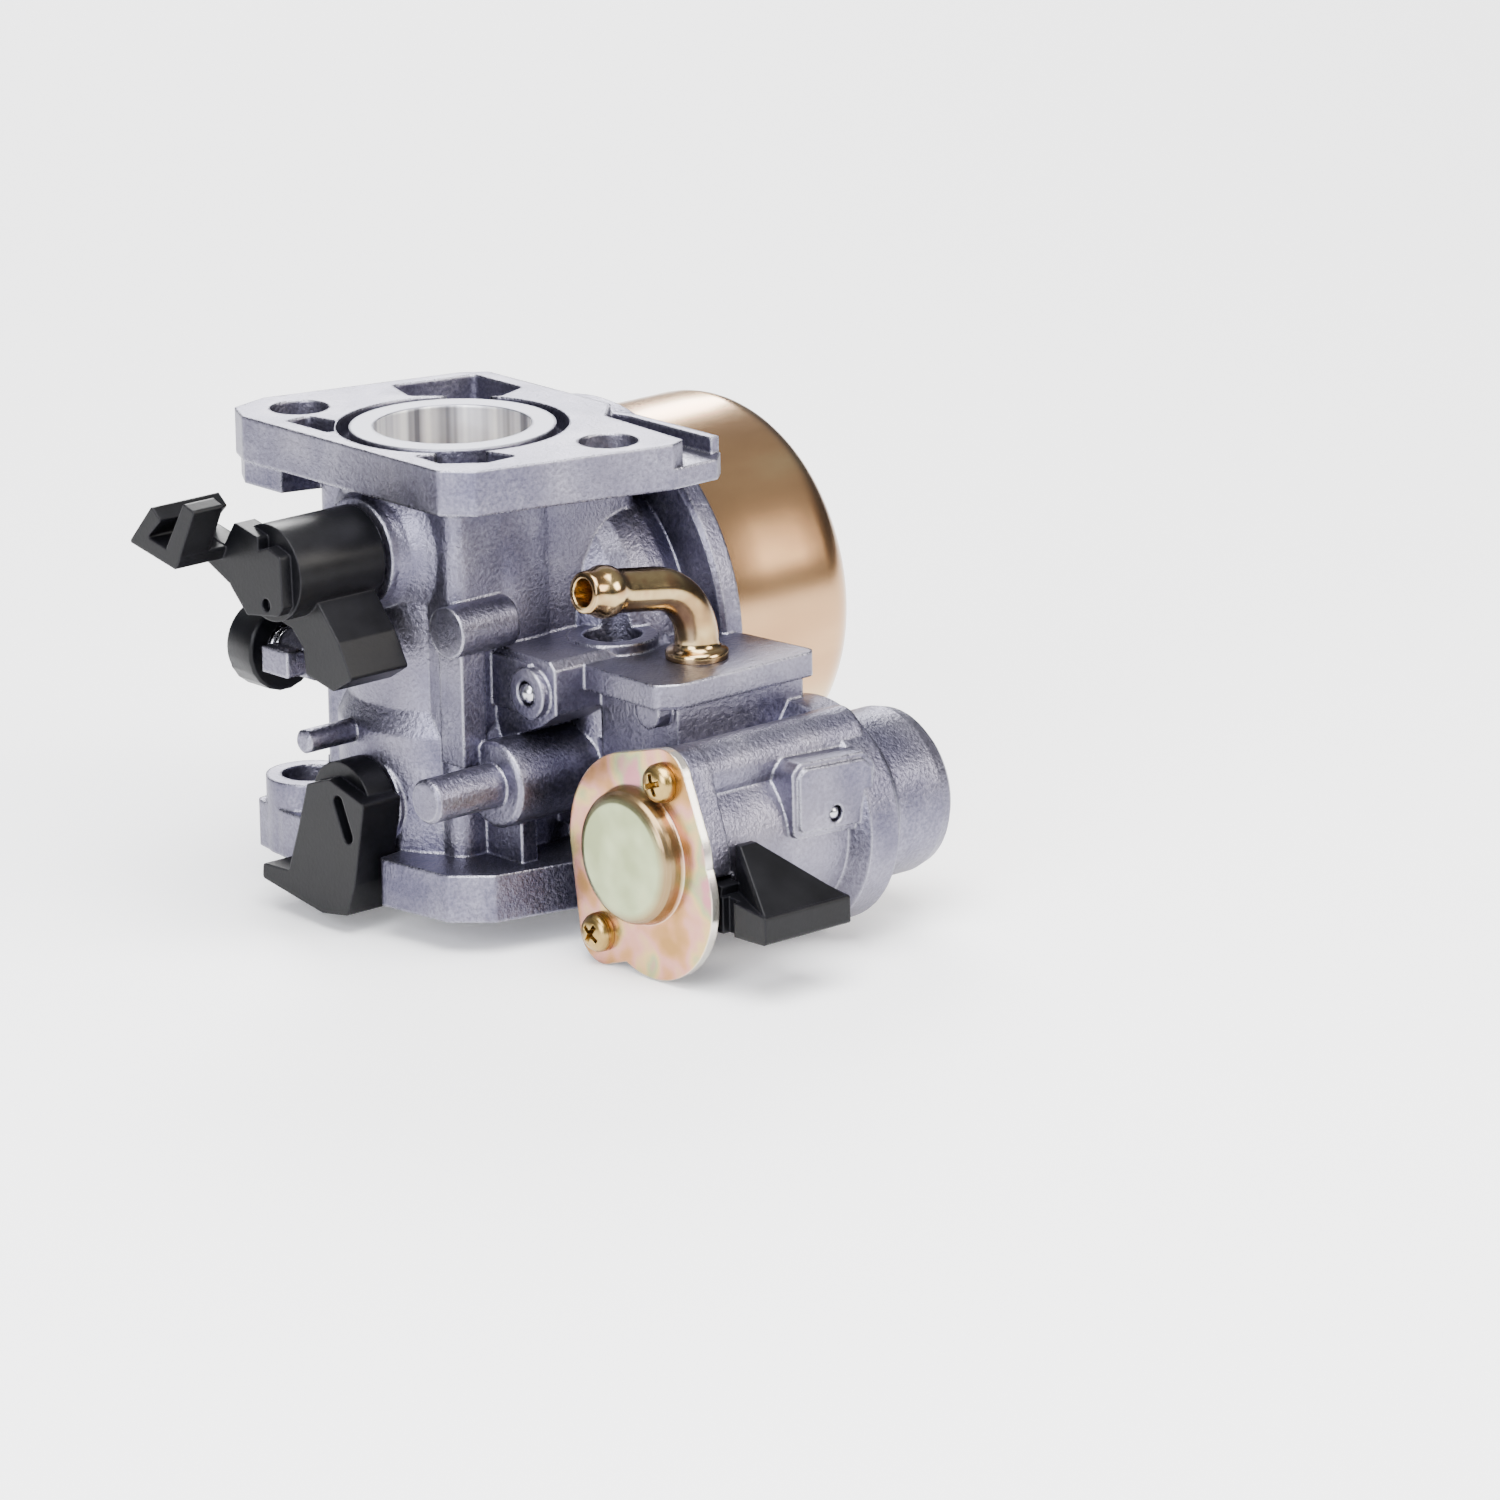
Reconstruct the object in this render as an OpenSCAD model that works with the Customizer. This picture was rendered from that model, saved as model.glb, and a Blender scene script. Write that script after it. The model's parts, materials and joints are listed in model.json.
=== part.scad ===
/* Float-bowl carburetor with a built-in fuel valve, for a small horizontal-shaft engine.
   Millimetres. The throat runs along Z: air side at z = 0, engine side at the top.
   The float bowl hangs towards +X, the fuel valve is on the -Y side,
   the throttle lever and the choke arm are on the -X side. */

/* [Throat] */
// distance between the air face and the engine face
throat_length = 55; // [48:0.5:65]
// radius of the engine-side bore
engine_bore_r = 9.5; // [8:0.1:11]
// radius of the air-side bore that holds the choke
choke_bore_r = 12; // [10:0.1:13]
// radius of the narrowest part of the throat
venturi_r = 7.2; // [6:0.1:8.5]
// height of the throttle shaft above the air face
throttle_z = 42; // [40:0.5:44]
// height of the choke shaft above the air face
choke_z = 11.25; // [10:0.25:13]

/* [Mounting] */
// distance between the two stud holes
stud_spacing = 42; // [38:0.5:48]
// angle of the line through the stud holes, from the Y axis
stud_turn = 22; // [16:1:28]
// radius of the stud holes
stud_hole_r = 3.6; // [3.1:0.1:4.2]

/* [Float bowl] */
// height of the bowl axis above the air face
bowl_z = 28.5; // [26:0.5:30]
// outer radius of the bowl
bowl_r = 23.3; // [21:0.1:24]
// distance from the throat axis to the bottom of the bowl
bowl_bottom_x = 44.7; // [42:0.1:48]
// thickness of the bowl sheet
bowl_wall = 0.9; // [0.6:0.1:1.2]

/* [Fuel valve] */
// distance of the valve axis from the throat axis
valve_offset = 39; // [37:0.5:42]
// height of the valve axis above the air face
valve_z = 10.8; // [9:0.2:13]
// radius of the round cover plate
cover_plate_r = 12.3; // [11.5:0.1:13]
// angle of the fuel lever when the valve is shut
lever_angle = 194; // [188:1:210]

/* [Fits] */
// running gap of the shafts in their bores
running_gap = 0.05; // [0.02:0.01:0.1]
// gap between parts that are fixed together
seat_gap = 0.02; // [0.01:0.01:0.05]

/* [Hidden] */
$fn = 64;
eps = 0.01;
stud_r = stud_spacing / 2;
stud_x = stud_r * sin(stud_turn);
stud_y = -stud_r * cos(stud_turn);
flange_under = throat_length - 5.5;
flange_step = throat_length - 3;
air_flange_top = 5.8;
throttle_r = engine_bore_r - 0.1;
choke_r = choke_bore_r - 0.15;
throttle_shaft_r = 3;
choke_shaft_r = 2.5;
plate_thick = 1;
boss_face_x = -15;
lever_face_x = -15.6;
cover_x = 20;
cover_r = 25.8;
gasket_x = 21.2;
bowl_rim_x = 22.5;
column_r = 5.5;
column_end_x = bowl_bottom_x - bowl_wall - 0.2;
float_pin_x = 26.5;
float_pin_z = bowl_z + 18;
float_pin_r = 0.75;
needle_z = bowl_z + 12;
valve_y = -valve_offset;
valve_face_x = -4.3;
screw_a = [-4.9, 9.9];
screw_b = [6.9, -10.9];
plate_low = [-2.2, -3.7];
idle_x = -21;
idle_z = 30.2;
knob_r = 5.4;
mix_x = 4;
mix_z = 38;
pilot_y = 12;
pilot_z = 38;
elbow_x = 11.3;
elbow_y = -30.8;
shelf_z = 30;
elbow_turn = 81.7;
elbow_bend_r = 7.5;
elbow_bend_z = 32.2;
tube_r = 2.65;
cup_face_x = 24;

// outline corners rounded by formula
function unit(v) = v / norm(v);
function corner_arc(p0, p1, p2, r, n) =
  let(a = unit(p0 - p1), b = unit(p2 - p1), half = acos(a * b) / 2,
      c = p1 + unit(a + b) * r / sin(half),
      s = p1 + a * r / tan(half) - c,
      e = p1 + b * r / tan(half) - c,
      t0 = atan2(s[1], s[0]),
      dt = ((atan2(e[1], e[0]) - t0 + 540) % 360) - 180)
  [for (i = [0:n]) c + r * [cos(t0 + dt * i / n), sin(t0 + dt * i / n)]];
function rounded(pts, r, n = 5) =
  let(m = len(pts))
  [for (i = [0:m - 1]) each corner_arc(pts[(i + m - 1) % m], pts[i], pts[(i + 1) % m], r, n)];

// a round bar along X, from x0 to x1
module bar_x(x0, x1, r, y = 0, z = 0) {
  translate([x0, y, z])
    rotate([0, 90, 0])
      cylinder(r = r, h = x1 - x0);
}

// a round bar along Y, from y0 to y1
module bar_y(y0, y1, r, x = 0, z = 0) {
  translate([x, y1, z])
    rotate([90, 0, 0])
      cylinder(r = r, h = y1 - y0);
}

// a cone along X
module cone_x(x0, x1, r0, r1, y = 0, z = 0) {
  translate([x0, y, z])
    rotate([0, 90, 0])
      cylinder(r1 = r0, r2 = r1, h = x1 - x0);
}

// an outline of [y, z] points drawn out along X
module slab_x(x0, x1, pts) {
  translate([x0, 0, 0])
    rotate([90, 0, 90])
      linear_extrude(x1 - x0)
        polygon(pts);
}

// a profile of [distance, radius] points turned about an axis along X
module turned_x(pts, y = 0, z = 0) {
  translate([0, y, z])
    rotate([0, 90, 0])
      rotate_extrude()
        polygon([for (p = pts) [p[1], p[0]]]);
}

// a profile of [height, radius] points turned about an axis along Z
module turned_z(pts) {
  rotate_extrude()
    polygon([for (p = pts) [p[1], p[0]]]);
}

// a box given by two opposite corners
module block(lo, hi) {
  translate(lo)
    cube(hi - lo);
}

// the leaf between a round plate and a screw ear, drawn a hair inside both
module ear(big_r, small_r, at) {
  d = norm(at);
  t = atan2(at[1], at[0]);
  a = acos((big_r - small_r) / d);
  b = big_r - 0.03;
  s = small_r - 0.03;
  translate(at)
    circle(r = small_r);
  polygon([[0, 0],
           b * [cos(t - a), sin(t - a)],
           at + s * [cos(t - a), sin(t - a)],
           at + s * [cos(t + a), sin(t + a)],
           b * [cos(t + a), sin(t + a)]]);
}

// coil spring along Z, flat-sided wire
module coil(r, wire_r, h, turns) {
  span = 360 * 2 * wire_r * turns / h;
  n = 4;
  linear_extrude(height = h - 2 * wire_r, twist = -360 * turns, slices = round(turns * 14), $fn = 16)
    polygon([for (i = [0:n]) (r + wire_r) * [cos(span * i / n), sin(span * i / n)],
             for (i = [n:-1:0]) (r - wire_r) * [cos(span * i / n), sin(span * i / n)]]);
}

// ---- casting ----

top_outline = [[-15.5, -16], [-12.5, -19.5], [12, -26.3], [14.5, -25.5], [15.5, -10], [19.7, -6],
               [19.7, 17], [17, 19.2], [-8, 26.3], [-13.5, 25], [-15.5, 21]];
under_outline = [[-15.5, -16], [-12.5, -19.5], [12, -26.3], [19, -26.3], [21.3, -24.2], [21.3, -9],
                 [19.7, -6], [19.7, 17], [17, 19.2], [-8, 26.3], [-13.5, 25], [-15.5, 21]];
air_outline = [[-17.8, -5.6], [-16.5, -17], [-12.5, -21], [-4, -22.8], [9, -26], [15, -22],
               [17, -12], [17, 6], [8, 19], [-4, 26], [-12.3, 24.5], [-13.6, 18], [-13.6, -5]];
waist_outline = [[-11, -13], [18, -13], [18, 13], [-11, 13]];

module engine_flange() {
  translate([0, 0, flange_under])
    linear_extrude(flange_step - flange_under)
      polygon(rounded(under_outline, 0.9));
  translate([0, 0, flange_step - eps])
    linear_extrude(throat_length - flange_step + eps)
      polygon(rounded(top_outline, 0.9));
  // low rim along the stepped corner
  translate([0, 0, flange_step - eps])
    linear_extrude(2)
      polygon([[19.5, -4], [21.2, -8.8], [21.2, -24], [20, -24], [20, -9], [18.8, -4.6]]);
  // deep left corner
  translate([0, 0, flange_under - 2.8])
    linear_extrude(2.8 + eps)
      polygon([[-15.3, 14], [-15.3, 21], [-13, 24.6], [-8, 25.6], [-3, 13], [-9, 12]]);
}

module engine_flange_relief() {
  // groove round the raised sealing ring
  translate([0, 0, throat_length - 2.5])
    rotate_extrude()
      translate([12.4, 0])
        square([1.6, 3]);
  // open corner pockets of the casting
  translate([0, 0, throat_length - 3.2])
    linear_extrude(4) {
      polygon(rounded([[-13, -8.4], [-13.2, -13.6], [-9, -17.2], [-4.2, -17.4], [-5.6, -12.6],
                       [-9.6, -9.8]], 0.7));
      polygon(rounded([[-13.2, 5], [-13.2, 15.5], [-9.8, 15.5], [-8.8, 11.3], [-11.6, 8.2]], 0.7));
      polygon(rounded([[8.2, 11.4], [12.8, 6.4], [17.6, 8], [17.6, 17.2], [7, 20.2], [5, 14.4]], 1));
    }
}

module air_flange() {
  linear_extrude(air_flange_top)
    polygon(rounded(air_outline, 0.8));
}

// barrel round the throat, with its square waist
module barrel() {
  translate([0, 0, 4])
    cylinder(r = 14.7, h = 16);
  translate([0, 0, 20])
    cylinder(r1 = 14.7, r2 = 13.5, h = 3);
  translate([0, 0, 22])
    cylinder(r = 13.5, h = 28);
  translate([0, 0, 5])
    linear_extrude(flange_under - 4)
      polygon(rounded(waist_outline, 2));
  // spread of the wall under the engine flange
  translate([0, 0, flange_under - 1.4])
    linear_extrude(1.4 + eps)
      polygon(rounded([[-12.2, -14.4], [18, -14.4], [18, 14.4], [-12.2, 14.4]], 2));
}

// bell and round cover that close the float chamber
module float_chamber_cover() {
  turned_x([[4, 0], [7, 12], [8, 14.5], [9.2, 16.8], [10.8, 18.6], [12.8, 19.8], [15, 20.3],
            [17.4, 20.2], [19.2, 19.6], [cover_x, 19.4], [cover_x, cover_r - 0.5], [cover_x + 0.5, cover_r],
            [cover_x + 2.8, cover_r], [cover_x + 3.3, cover_r - 0.5], [cover_x + 3.3, 24.5],
            [gasket_x, 24.5], [gasket_x, 20.4], [cover_x + 1.6, 20.4], [cover_x + 1.6, 0]], 0, bowl_z);
  // column in the middle of the bowl
  bar_x(cover_x, column_end_x, column_r, 0, bowl_z);
  cone_x(cover_x + 1.5, cover_x + 5, 8, column_r, 0, bowl_z);
  // seat boss of the inlet needle and the two posts of the hinge pin
  bar_x(cover_x, 22.4, 4.4, 0, needle_z);
  for (s = [-1, 1])
    translate([0, s * 6.6, 0]) {
      bar_y(-1.1, 1.1, 1.8, float_pin_x, float_pin_z);
      block([cover_x, -1.1, float_pin_z - 1.8], [float_pin_x, 1.1, float_pin_z + 1.8]);
    }
}

module shaft_bosses() {
  turned_x([[boss_face_x, 0], [boss_face_x, 6.5], [-14, 6.7], [-12.8, 7.4], [-11.6, 8.8], [-10.8, 10.2],
            [-9, 10.4], [-5, 10.4], [-5, 0]], 0, throttle_z);
  bar_x(10, 16.8, 6.5, 0, throttle_z);
  bar_x(-14.4, -8, 5.8, 0, choke_z);
  bar_x(10, 17.2, 5, 0, choke_z);
}

// bosses for the pilot jet and the mixture screw
module jet_bosses() {
  bar_x(-14, -6, 4.2, pilot_y, pilot_z);
  cone_x(-7, 2, 4.2, 2, pilot_y, pilot_z);
  bar_y(8, 19, 4, mix_x, mix_z);
  block([mix_x - 2, 10, mix_z], [mix_x + 2, 17, flange_under + 1]);
}

// lug that carries the idle speed screw, with the lost-feeder stub beside it
module idle_lug() {
  block([-26, 0.3, 28.5], [-9, 5, 31.6]);
  bar_y(0.3, 5, 2.9, idle_x, idle_z);
  slab_x(-12.5, -9, [[0.3, 24], [5, 24], [5, 31.6], [0.3, 31.6]]);
}

module cast_stubs() {
  // round stub high on the -Y corner, with its upright rib
  bar_x(-12.8, -4, 3.15, -13.5, 34.2);
  block([-12, -15.2, 17.7], [-8.4, -11, 33]);
  // thin pin and thick pin on the -X side
  bar_x(-21.6, -10, 1.45, 3, 19.3);
  cone_x(-21.9, -21.6, 1.1, 1.45, 3, 19.3);
  cone_x(-20, -19.6, 2.3, 2.7, -17.5, 15.7);
  bar_x(-19.6, -9, 2.7, -17.5, 15.7);
  cone_x(-9.6, -9.2, 4.8, 5.25, -17.5, 15.7);
  bar_x(-9.2, 12.5, 5.25, -17.5, 15.7);
  cone_x(12.5, 13, 5.25, 4.7, -17.5, 15.7);
  // upright rib between the air flange and the round gallery
  block([-7, -19.5, 5], [-4.6, -12, 14]);
}

// ledge on the flat wall, with the stud tower below it
module stud_ledge() {
  slab_x(-5, 13.4, [[-12, 12], [-12, 31], [-23, 31], [-24, 30], [-24, 24.6], [-21, 22.6], [-17, 21]]);
  bar_x(-6.3, -4, 3.1, -20.1, 26.8);
  slab_x(-5.6, 0, [[-12, 24], [-12, 30.5], [-20, 30.2], [-20, 23.8]]);
  translate([stud_x, stud_y, 0])
    cylinder(r = 5.5, h = 31.3);
  translate([-stud_x, -stud_y, 0])
    cylinder(r = 5.5, h = 9.2);
  block([-3.6, 14, 4], [0.4, 21.4, 10.2]);
}

// ---- fuel valve housing, part of the casting ----

module valve_housing() {
  translate([0, valve_y, valve_z]) {
    // round housing behind the cover plate, with its two screw bosses
    translate([valve_face_x, 0, 0])
      rotate([90, 0, 90]) {
        linear_extrude(3.2) {
          circle(r = 11.6);
          ear(11.6, 3.8, screw_a);
          ear(11.6, 3.8, screw_b);
        }
      }
    bar_x(-2, 22.8, 11.3);
    bar_x(valve_face_x, 22.6, 3.7, screw_a[0], screw_a[1]);
    bar_x(valve_face_x, 8, 3.7, screw_b[0], screw_b[1]);
    cone_x(8, 11, 3.7, 1.5, screw_b[0], screw_b[1] + 0.5);
    // collar of the sediment cup
    cone_x(17.6, 19.2, 11.3, 13.7);
    bar_x(19.2, 23.5, 13.7);
    cone_x(23.5, cup_face_x, 13.7, 13.2);
  }
  // raised pad with a drilled and plugged passage
  translate([0, -44, 0])
    rotate([90, 0, 0])
      linear_extrude(7)
        polygon(rounded([[8.4, 12.2], [21.2, 11.6], [21.2, 19.2], [19.6, 20.8], [9.6, 21.3],
                         [8.4, 20.2]], 0.9));
  translate([0, -44, 0])
    rotate([90, 0, 0])
      linear_extrude(7.5)
        polygon(rounded([[9.1, 12.9], [20.5, 12.3], [20.5, 18.8], [19.3, 20.1], [10, 20.6],
                         [9.1, 19.7]], 0.9));
  // neck between the valve and the elbow shelf
  block([2, -38, 15], [21.6, -24, 28]);
  translate([0, 0, shelf_z - 3])
    linear_extrude(3)
      polygon(rounded([[-0.5, -37], [2.2, -38.7], [23.5, -38.7], [22.2, -27], [20.2, -22], [-0.5, -22.6]],
                      1.4));
  bar_x(-0.2, 4, 2.1, -35, 26.4);
  // walls that join the valve to the barrel
  block([3, -36, 8], [19.6, -12, 20]);
  slab_x(5, 20.4, [[-12, 6], [-40, 1.5], [-40, 18], [-24, 29], [-12, 31]]);
}

module throat_hollow() {
  turned_z([[-1, 0], [-1, choke_bore_r], [19, choke_bore_r], [20.5, choke_bore_r - 0.5],
            [26, venturi_r], [30, venturi_r], [35, engine_bore_r], [throat_length + 1, engine_bore_r],
            [throat_length + 1, 0]]);
}

module valve_hollow() {
  translate([0, valve_y, valve_z]) {
    bar_x(valve_face_x - 1, 1.8, 9.2);
    // window for the lever
    rotate([90, 0, 90])
      translate([0, 0, valve_face_x - 1])
        linear_extrude(4.8)
          polygon([[0, 0], [18 * cos(184), 18 * sin(184)], [18 * cos(205), 18 * sin(205)],
                   [18 * cos(228), 18 * sin(228)], [18 * cos(250), 18 * sin(250)],
                   [18 * cos(268), 18 * sin(268)]]);
    bar_x(8, 17.2, 6.2);
    bar_x(17, cup_face_x + 1, 8.7);
    bar_x(22.4, cup_face_x + 1, 10.15);
    for (a = [45, 225])
      bar_x(1, 9, 1.4, 5 * cos(a), 5 * sin(a));
    bar_x(valve_face_x - 1, 6.4, 1.42, screw_a[0], screw_a[1]);
    bar_x(valve_face_x - 1, 6.4, 1.42, screw_b[0], screw_b[1]);
  }
  // seat of the elbow
  translate([elbow_x, elbow_y, 20])
    cylinder(r = 1.6, h = 12);
  translate([elbow_x, elbow_y, shelf_z - 4])
    cylinder(r = tube_r + seat_gap, h = 5);
}

module passage_bores() {
  // stud holes
  for (s = [-1, 1])
    translate([s * stud_x, s * stud_y, -1])
      cylinder(r = stud_hole_r, h = throat_length + 2);
  // shafts
  bar_x(boss_face_x - 1, 14.3, throttle_shaft_r + running_gap, 0, throttle_z);
  bar_x(boss_face_x - 1, -12.9, 5, 0, throttle_z);
  bar_x(-16, 14.3, choke_shaft_r + running_gap, 0, choke_z);
  // main nozzle, jet and bowl bolt in the column
  bar_x(4, 36.4, 2.3 + seat_gap, 0, bowl_z);
  bar_x(36.4, column_end_x + 1, 2.9 + seat_gap, 0, bowl_z);
  // needle seat
  bar_x(15.9, 23.6, 3 + seat_gap, 0, needle_z);
  bar_y(-9, 9, float_pin_r + seat_gap, float_pin_x, float_pin_z);
  // pilot jet
  bar_x(-15, -5, 2.2 + seat_gap, pilot_y, pilot_z);
  bar_x(-15, -12.4, 3.1, pilot_y, pilot_z);
  // mixture screw
  bar_y(8.5, 20, 1.6 + running_gap, mix_x, mix_z);
  // idle speed screw
  bar_y(0, 6, 1.6 + running_gap, idle_x, idle_z);
  // plugged passages
  bar_x(-7, -4, 1.55, -20.1, 26.8);
  bar_y(-52, -49, 1.05, 14.7, 14.3);
}

module carburetor_body() {
  color([0.66, 0.66, 0.71])
    difference() {
      union() {
        engine_flange();
        air_flange();
        barrel();
        float_chamber_cover();
        shaft_bosses();
        jet_bosses();
        idle_lug();
        cast_stubs();
        stud_ledge();
        valve_housing();
      }
      engine_flange_relief();
      throat_hollow();
      valve_hollow();
      passage_bores();
      // slot of the small lug by the far stud tower
      block([-2.3, 15, 6.4], [-0.9, 22, 11]);
      // cast relief between the stud tower and the gallery
      block([-4.2, -22, 6.5], [1.6, -15, 10]);
    }
}

// ---- throttle ----

module throttle_shaft() {
  color([0.75, 0.75, 0.77])
    translate([0, 0, throttle_z])
      difference() {
        union() {
          bar_x(-27.6, 13.5, throttle_shaft_r);
          cone_x(-28, -27.6, 2.6, throttle_shaft_r);
          cone_x(13.5, 14, throttle_shaft_r, 2.6);
        }
        // slit for the plate, flat for the screw heads
        block([-throttle_r - 0.1, -4, -plate_thick / 2 - seat_gap],
              [throttle_r + 0.1, 4, plate_thick / 2 + seat_gap]);
        block([-6.4, -4, 2], [6.4, 4, 4]);
        for (x = [-3.4, 3.4])
          translate([x, 0, -4])
            cylinder(r = 1.3 + seat_gap, h = 8);
      }
}

module throttle_valve() {
  color([0.83, 0.72, 0.42])
    translate([0, 0, throttle_z - plate_thick / 2])
      difference() {
        cylinder(r = throttle_r, h = plate_thick);
        for (x = [-3.4, 3.4])
          translate([x, 0, -1])
            cylinder(r = 1.3 + seat_gap, h = 3);
        // small air cut at the rim
        translate([0, throttle_r + 0.3, -1])
          cylinder(r = 1, h = 3);
      }
}

module small_screw(head_r, shank_r, length) {
  difference() {
    union() {
      cylinder(r = shank_r, h = length);
      translate([0, 0, length - eps])
        turned_z([[0, 0], [0, head_r], [0.5, head_r], [0.9, head_r - 0.5], [1.1, 0]]);
    }
    for (t = [0, 90])
      rotate(t)
        translate([-head_r * 0.6, -0.25, length + 0.5])
          cube([head_r * 1.2, 0.5, 1]);
  }
}

module throttle_valve_screws() {
  color([0.8, 0.72, 0.5])
    for (x = [-3.4, 3.4])
      translate([x, 0, throttle_z - 3])
        small_screw(2.2, 1.3, 5 + seat_gap);
}

hub_outline = [[7.4, 42.5], [2.9, 43.8], [-1.7, 45.7], [-4.1, 44.9], [-4.3, 38.7], [-3.4, 37.6],
               [2.5, 36.7], [5.4, 39.6]];
stop_outline = [[5.2, 35.7], [0.2, 34.6], [-1.9, 32.5], [-2.3, 29.4], [-7.4, 28.3], [-10.9, 30.4],
                [-8.6, 34.5], [-4.6, 39], [0, 42], [4.6, 38.6]];
clip_outline = [[15.7, 44.5], [11.2, 49.6], [9.5, 48.2], [12.2, 45.7], [7.4, 44.7], [5.9, 44.4],
                [6.9, 42.7]];
prong_outline = [[6.9, 42.7], [8.6, 45], [5, 51.1], [3, 50.4]];
web_outline = [[0, 46.6], [4.4, 47.6], [6.4, 44.6], [12.6, 45.9], [15.7, 44.5], [11, 42.4], [5.8, 40],
               [0, 39]];

module throttle_lever() {
  color([0.13, 0.13, 0.16])
    difference() {
      union() {
        bar_x(-28.4, lever_face_x, 5.9, 0, throttle_z);
        slab_x(-30, -28.3, rounded(hub_outline, 0.5));
        slab_x(-25.2, -16.6, rounded(stop_outline, 0.4));
        // channel that takes the governor rod
        slab_x(-37, -27, rounded(clip_outline, 0.25));
        slab_x(-37, -32.6, rounded(prong_outline, 0.3));
        slab_x(-30, -27, rounded(web_outline, 0.3));
      }
      bar_x(-28.1, -15, throttle_shaft_r + seat_gap, 0, throttle_z);
      bar_x(-31, -29, 0.8, -1.2, 38.6);
    }
}

module throttle_shaft_seal() {
  color([0.1, 0.1, 0.1])
    turned_x([[boss_face_x + 0.1, 3.1], [boss_face_x + 0.1, 4.95], [-13, 4.95], [-13, 4.1],
              [-14, 3.8], [-13.6, 3.1]], 0, throttle_z);
}

// ---- choke ----

module choke_shaft() {
  color([0.75, 0.75, 0.77])
    translate([0, 0, choke_z])
      difference() {
        union() {
          bar_x(-18, 13.6, choke_shaft_r);
          cone_x(13.6, 14, choke_shaft_r, 2.2);
        }
        block([-choke_r - 0.1, -4, -plate_thick / 2 - seat_gap],
              [choke_r + 0.1, 4, plate_thick / 2 + seat_gap]);
        block([-3.4, -4, 1.6], [3.4, 4, 4]);
        translate([0, 0, -4])
          cylinder(r = 1.3 + seat_gap, h = 8);
      }
}

module choke_valve() {
  color([0.75, 0.75, 0.77])
    translate([0, 0, choke_z - plate_thick / 2])
      difference() {
        cylinder(r = choke_r, h = plate_thick);
        translate([0, 0, -1])
          cylinder(r = 1.3 + seat_gap, h = 3);
        translate([0, -7, -1])
          cylinder(r = 1.8, h = 3);
      }
}

module choke_valve_screw() {
  color([0.8, 0.72, 0.5])
    translate([0, 0, choke_z - 2.6])
      small_screw(2.2, 1.3, 4.2 + seat_gap);
}

choke_outline = [[0, 15], [-6.5, 13.1], [-4.4, 2.7], [-2.9, -1.4], [2, -2.1], [13.4, -0.1],
                 [13.2, 1.8], [8.3, 1.9], [6.1, 7.8], [4.2, 13.6]];

module choke_arm() {
  color([0.13, 0.13, 0.16])
    difference() {
      union() {
        slab_x(-20.5, -14.8, rounded(choke_outline, 0.45));
        bar_x(-18.6, -14.8, 5.5, 0, choke_z);
      }
      bar_x(-18.1, -14, choke_shaft_r + seat_gap, 0, choke_z);
      // slot for the choke rod
      translate([-21, -2.5, 10.5])
        rotate([-24, 0, 0])
          rotate([90, 0, 90])
            linear_extrude(2.4)
              polygon(rounded([[-0.9, -3], [0.9, -3], [0.9, 3], [-0.9, 3]], 0.85, 8));
    }
}

// ---- screws and jets ----

module idle_speed_screw() {
  color([0.13, 0.13, 0.16])
    difference() {
      union() {
        translate([idle_x, -1.8, idle_z])
          rotate([-90, 0, 0]) {
            cylinder(r1 = 1, r2 = 1.6, h = 0.8);
            translate([0, 0, 0.8 - eps])
              cylinder(r = 1.6, h = 10);
          }
        bar_y(6.8, 11.4, knob_r, idle_x, idle_z);
        translate([idle_x, 11.4 - eps, idle_z])
          rotate([-90, 0, 0])
            cylinder(r1 = knob_r, r2 = knob_r - 0.6, h = 0.6);
      }
      translate([idle_x, 6, idle_z])
        rotate([-90, 0, 0])
          difference() {
            cylinder(r = 2.8, h = 4.4);
            cylinder(r = 1.6, h = 5);
          }
      block([idle_x - 2.6, 11.2, idle_z - 0.4], [idle_x + 2.6, 13, idle_z + 0.4]);
    }
}

module idle_speed_spring() {
  color([0.7, 0.7, 0.72])
    translate([idle_x, 5.1, idle_z])
      rotate([-90, 0, 0])
        coil(2.2, 0.3, 5.2, 5);
}

module pilot_jet() {
  color([0.85, 0.7, 0.35])
    difference() {
      union() {
        bar_x(-15.4, -14.1, 3, pilot_y, pilot_z);
        bar_x(-14.2, -6, 2.2, pilot_y, pilot_z);
      }
      bar_x(-13, -5, 0.5, pilot_y, pilot_z);
      block([-16, pilot_y - 2, pilot_z - 0.3], [-14.8, pilot_y + 2, pilot_z + 0.3]);
    }
}

module ring(centre_r, wire_r) {
  rotate_extrude()
    translate([centre_r, 0])
      circle(r = wire_r, $fn = 24);
}

module pilot_jet_o_ring() {
  color([0.1, 0.1, 0.1])
    translate([-13.25, pilot_y, pilot_z])
      rotate([0, 90, 0])
        ring(2.65, 0.4);
}

module mixture_screw() {
  color([0.85, 0.7, 0.35])
    translate([mix_x, 0, mix_z])
      difference() {
        union() {
          translate([0, 9.2, 0])
            rotate([-90, 0, 0])
              cylinder(r1 = 0.4, r2 = 1.6, h = 2.6);
          bar_y(11.8 - eps, 21.8, 1.6);
          bar_y(21.6, 24.6, 2.9);
        }
        block([-3, 23.7, -0.4], [3, 25, 0.4]);
      }
}

module mixture_screw_spring() {
  color([0.7, 0.7, 0.72])
    translate([mix_x, 19.1, mix_z])
      rotate([-90, 0, 0])
        coil(2.2, 0.3, 2.4, 3);
}

module main_nozzle() {
  color([0.85, 0.7, 0.35])
    translate([0, 0, bowl_z])
      difference() {
        bar_x(5.2, 36.2, 2.3);
        bar_x(5, 37, 1.3);
        for (x = [26, 29, 32])
          for (t = [0, 90])
            translate([x, 0, 0])
              rotate([t, 0, 0])
                translate([0, 0, -3])
                  cylinder(r = 0.5, h = 6);
      }
}

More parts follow.
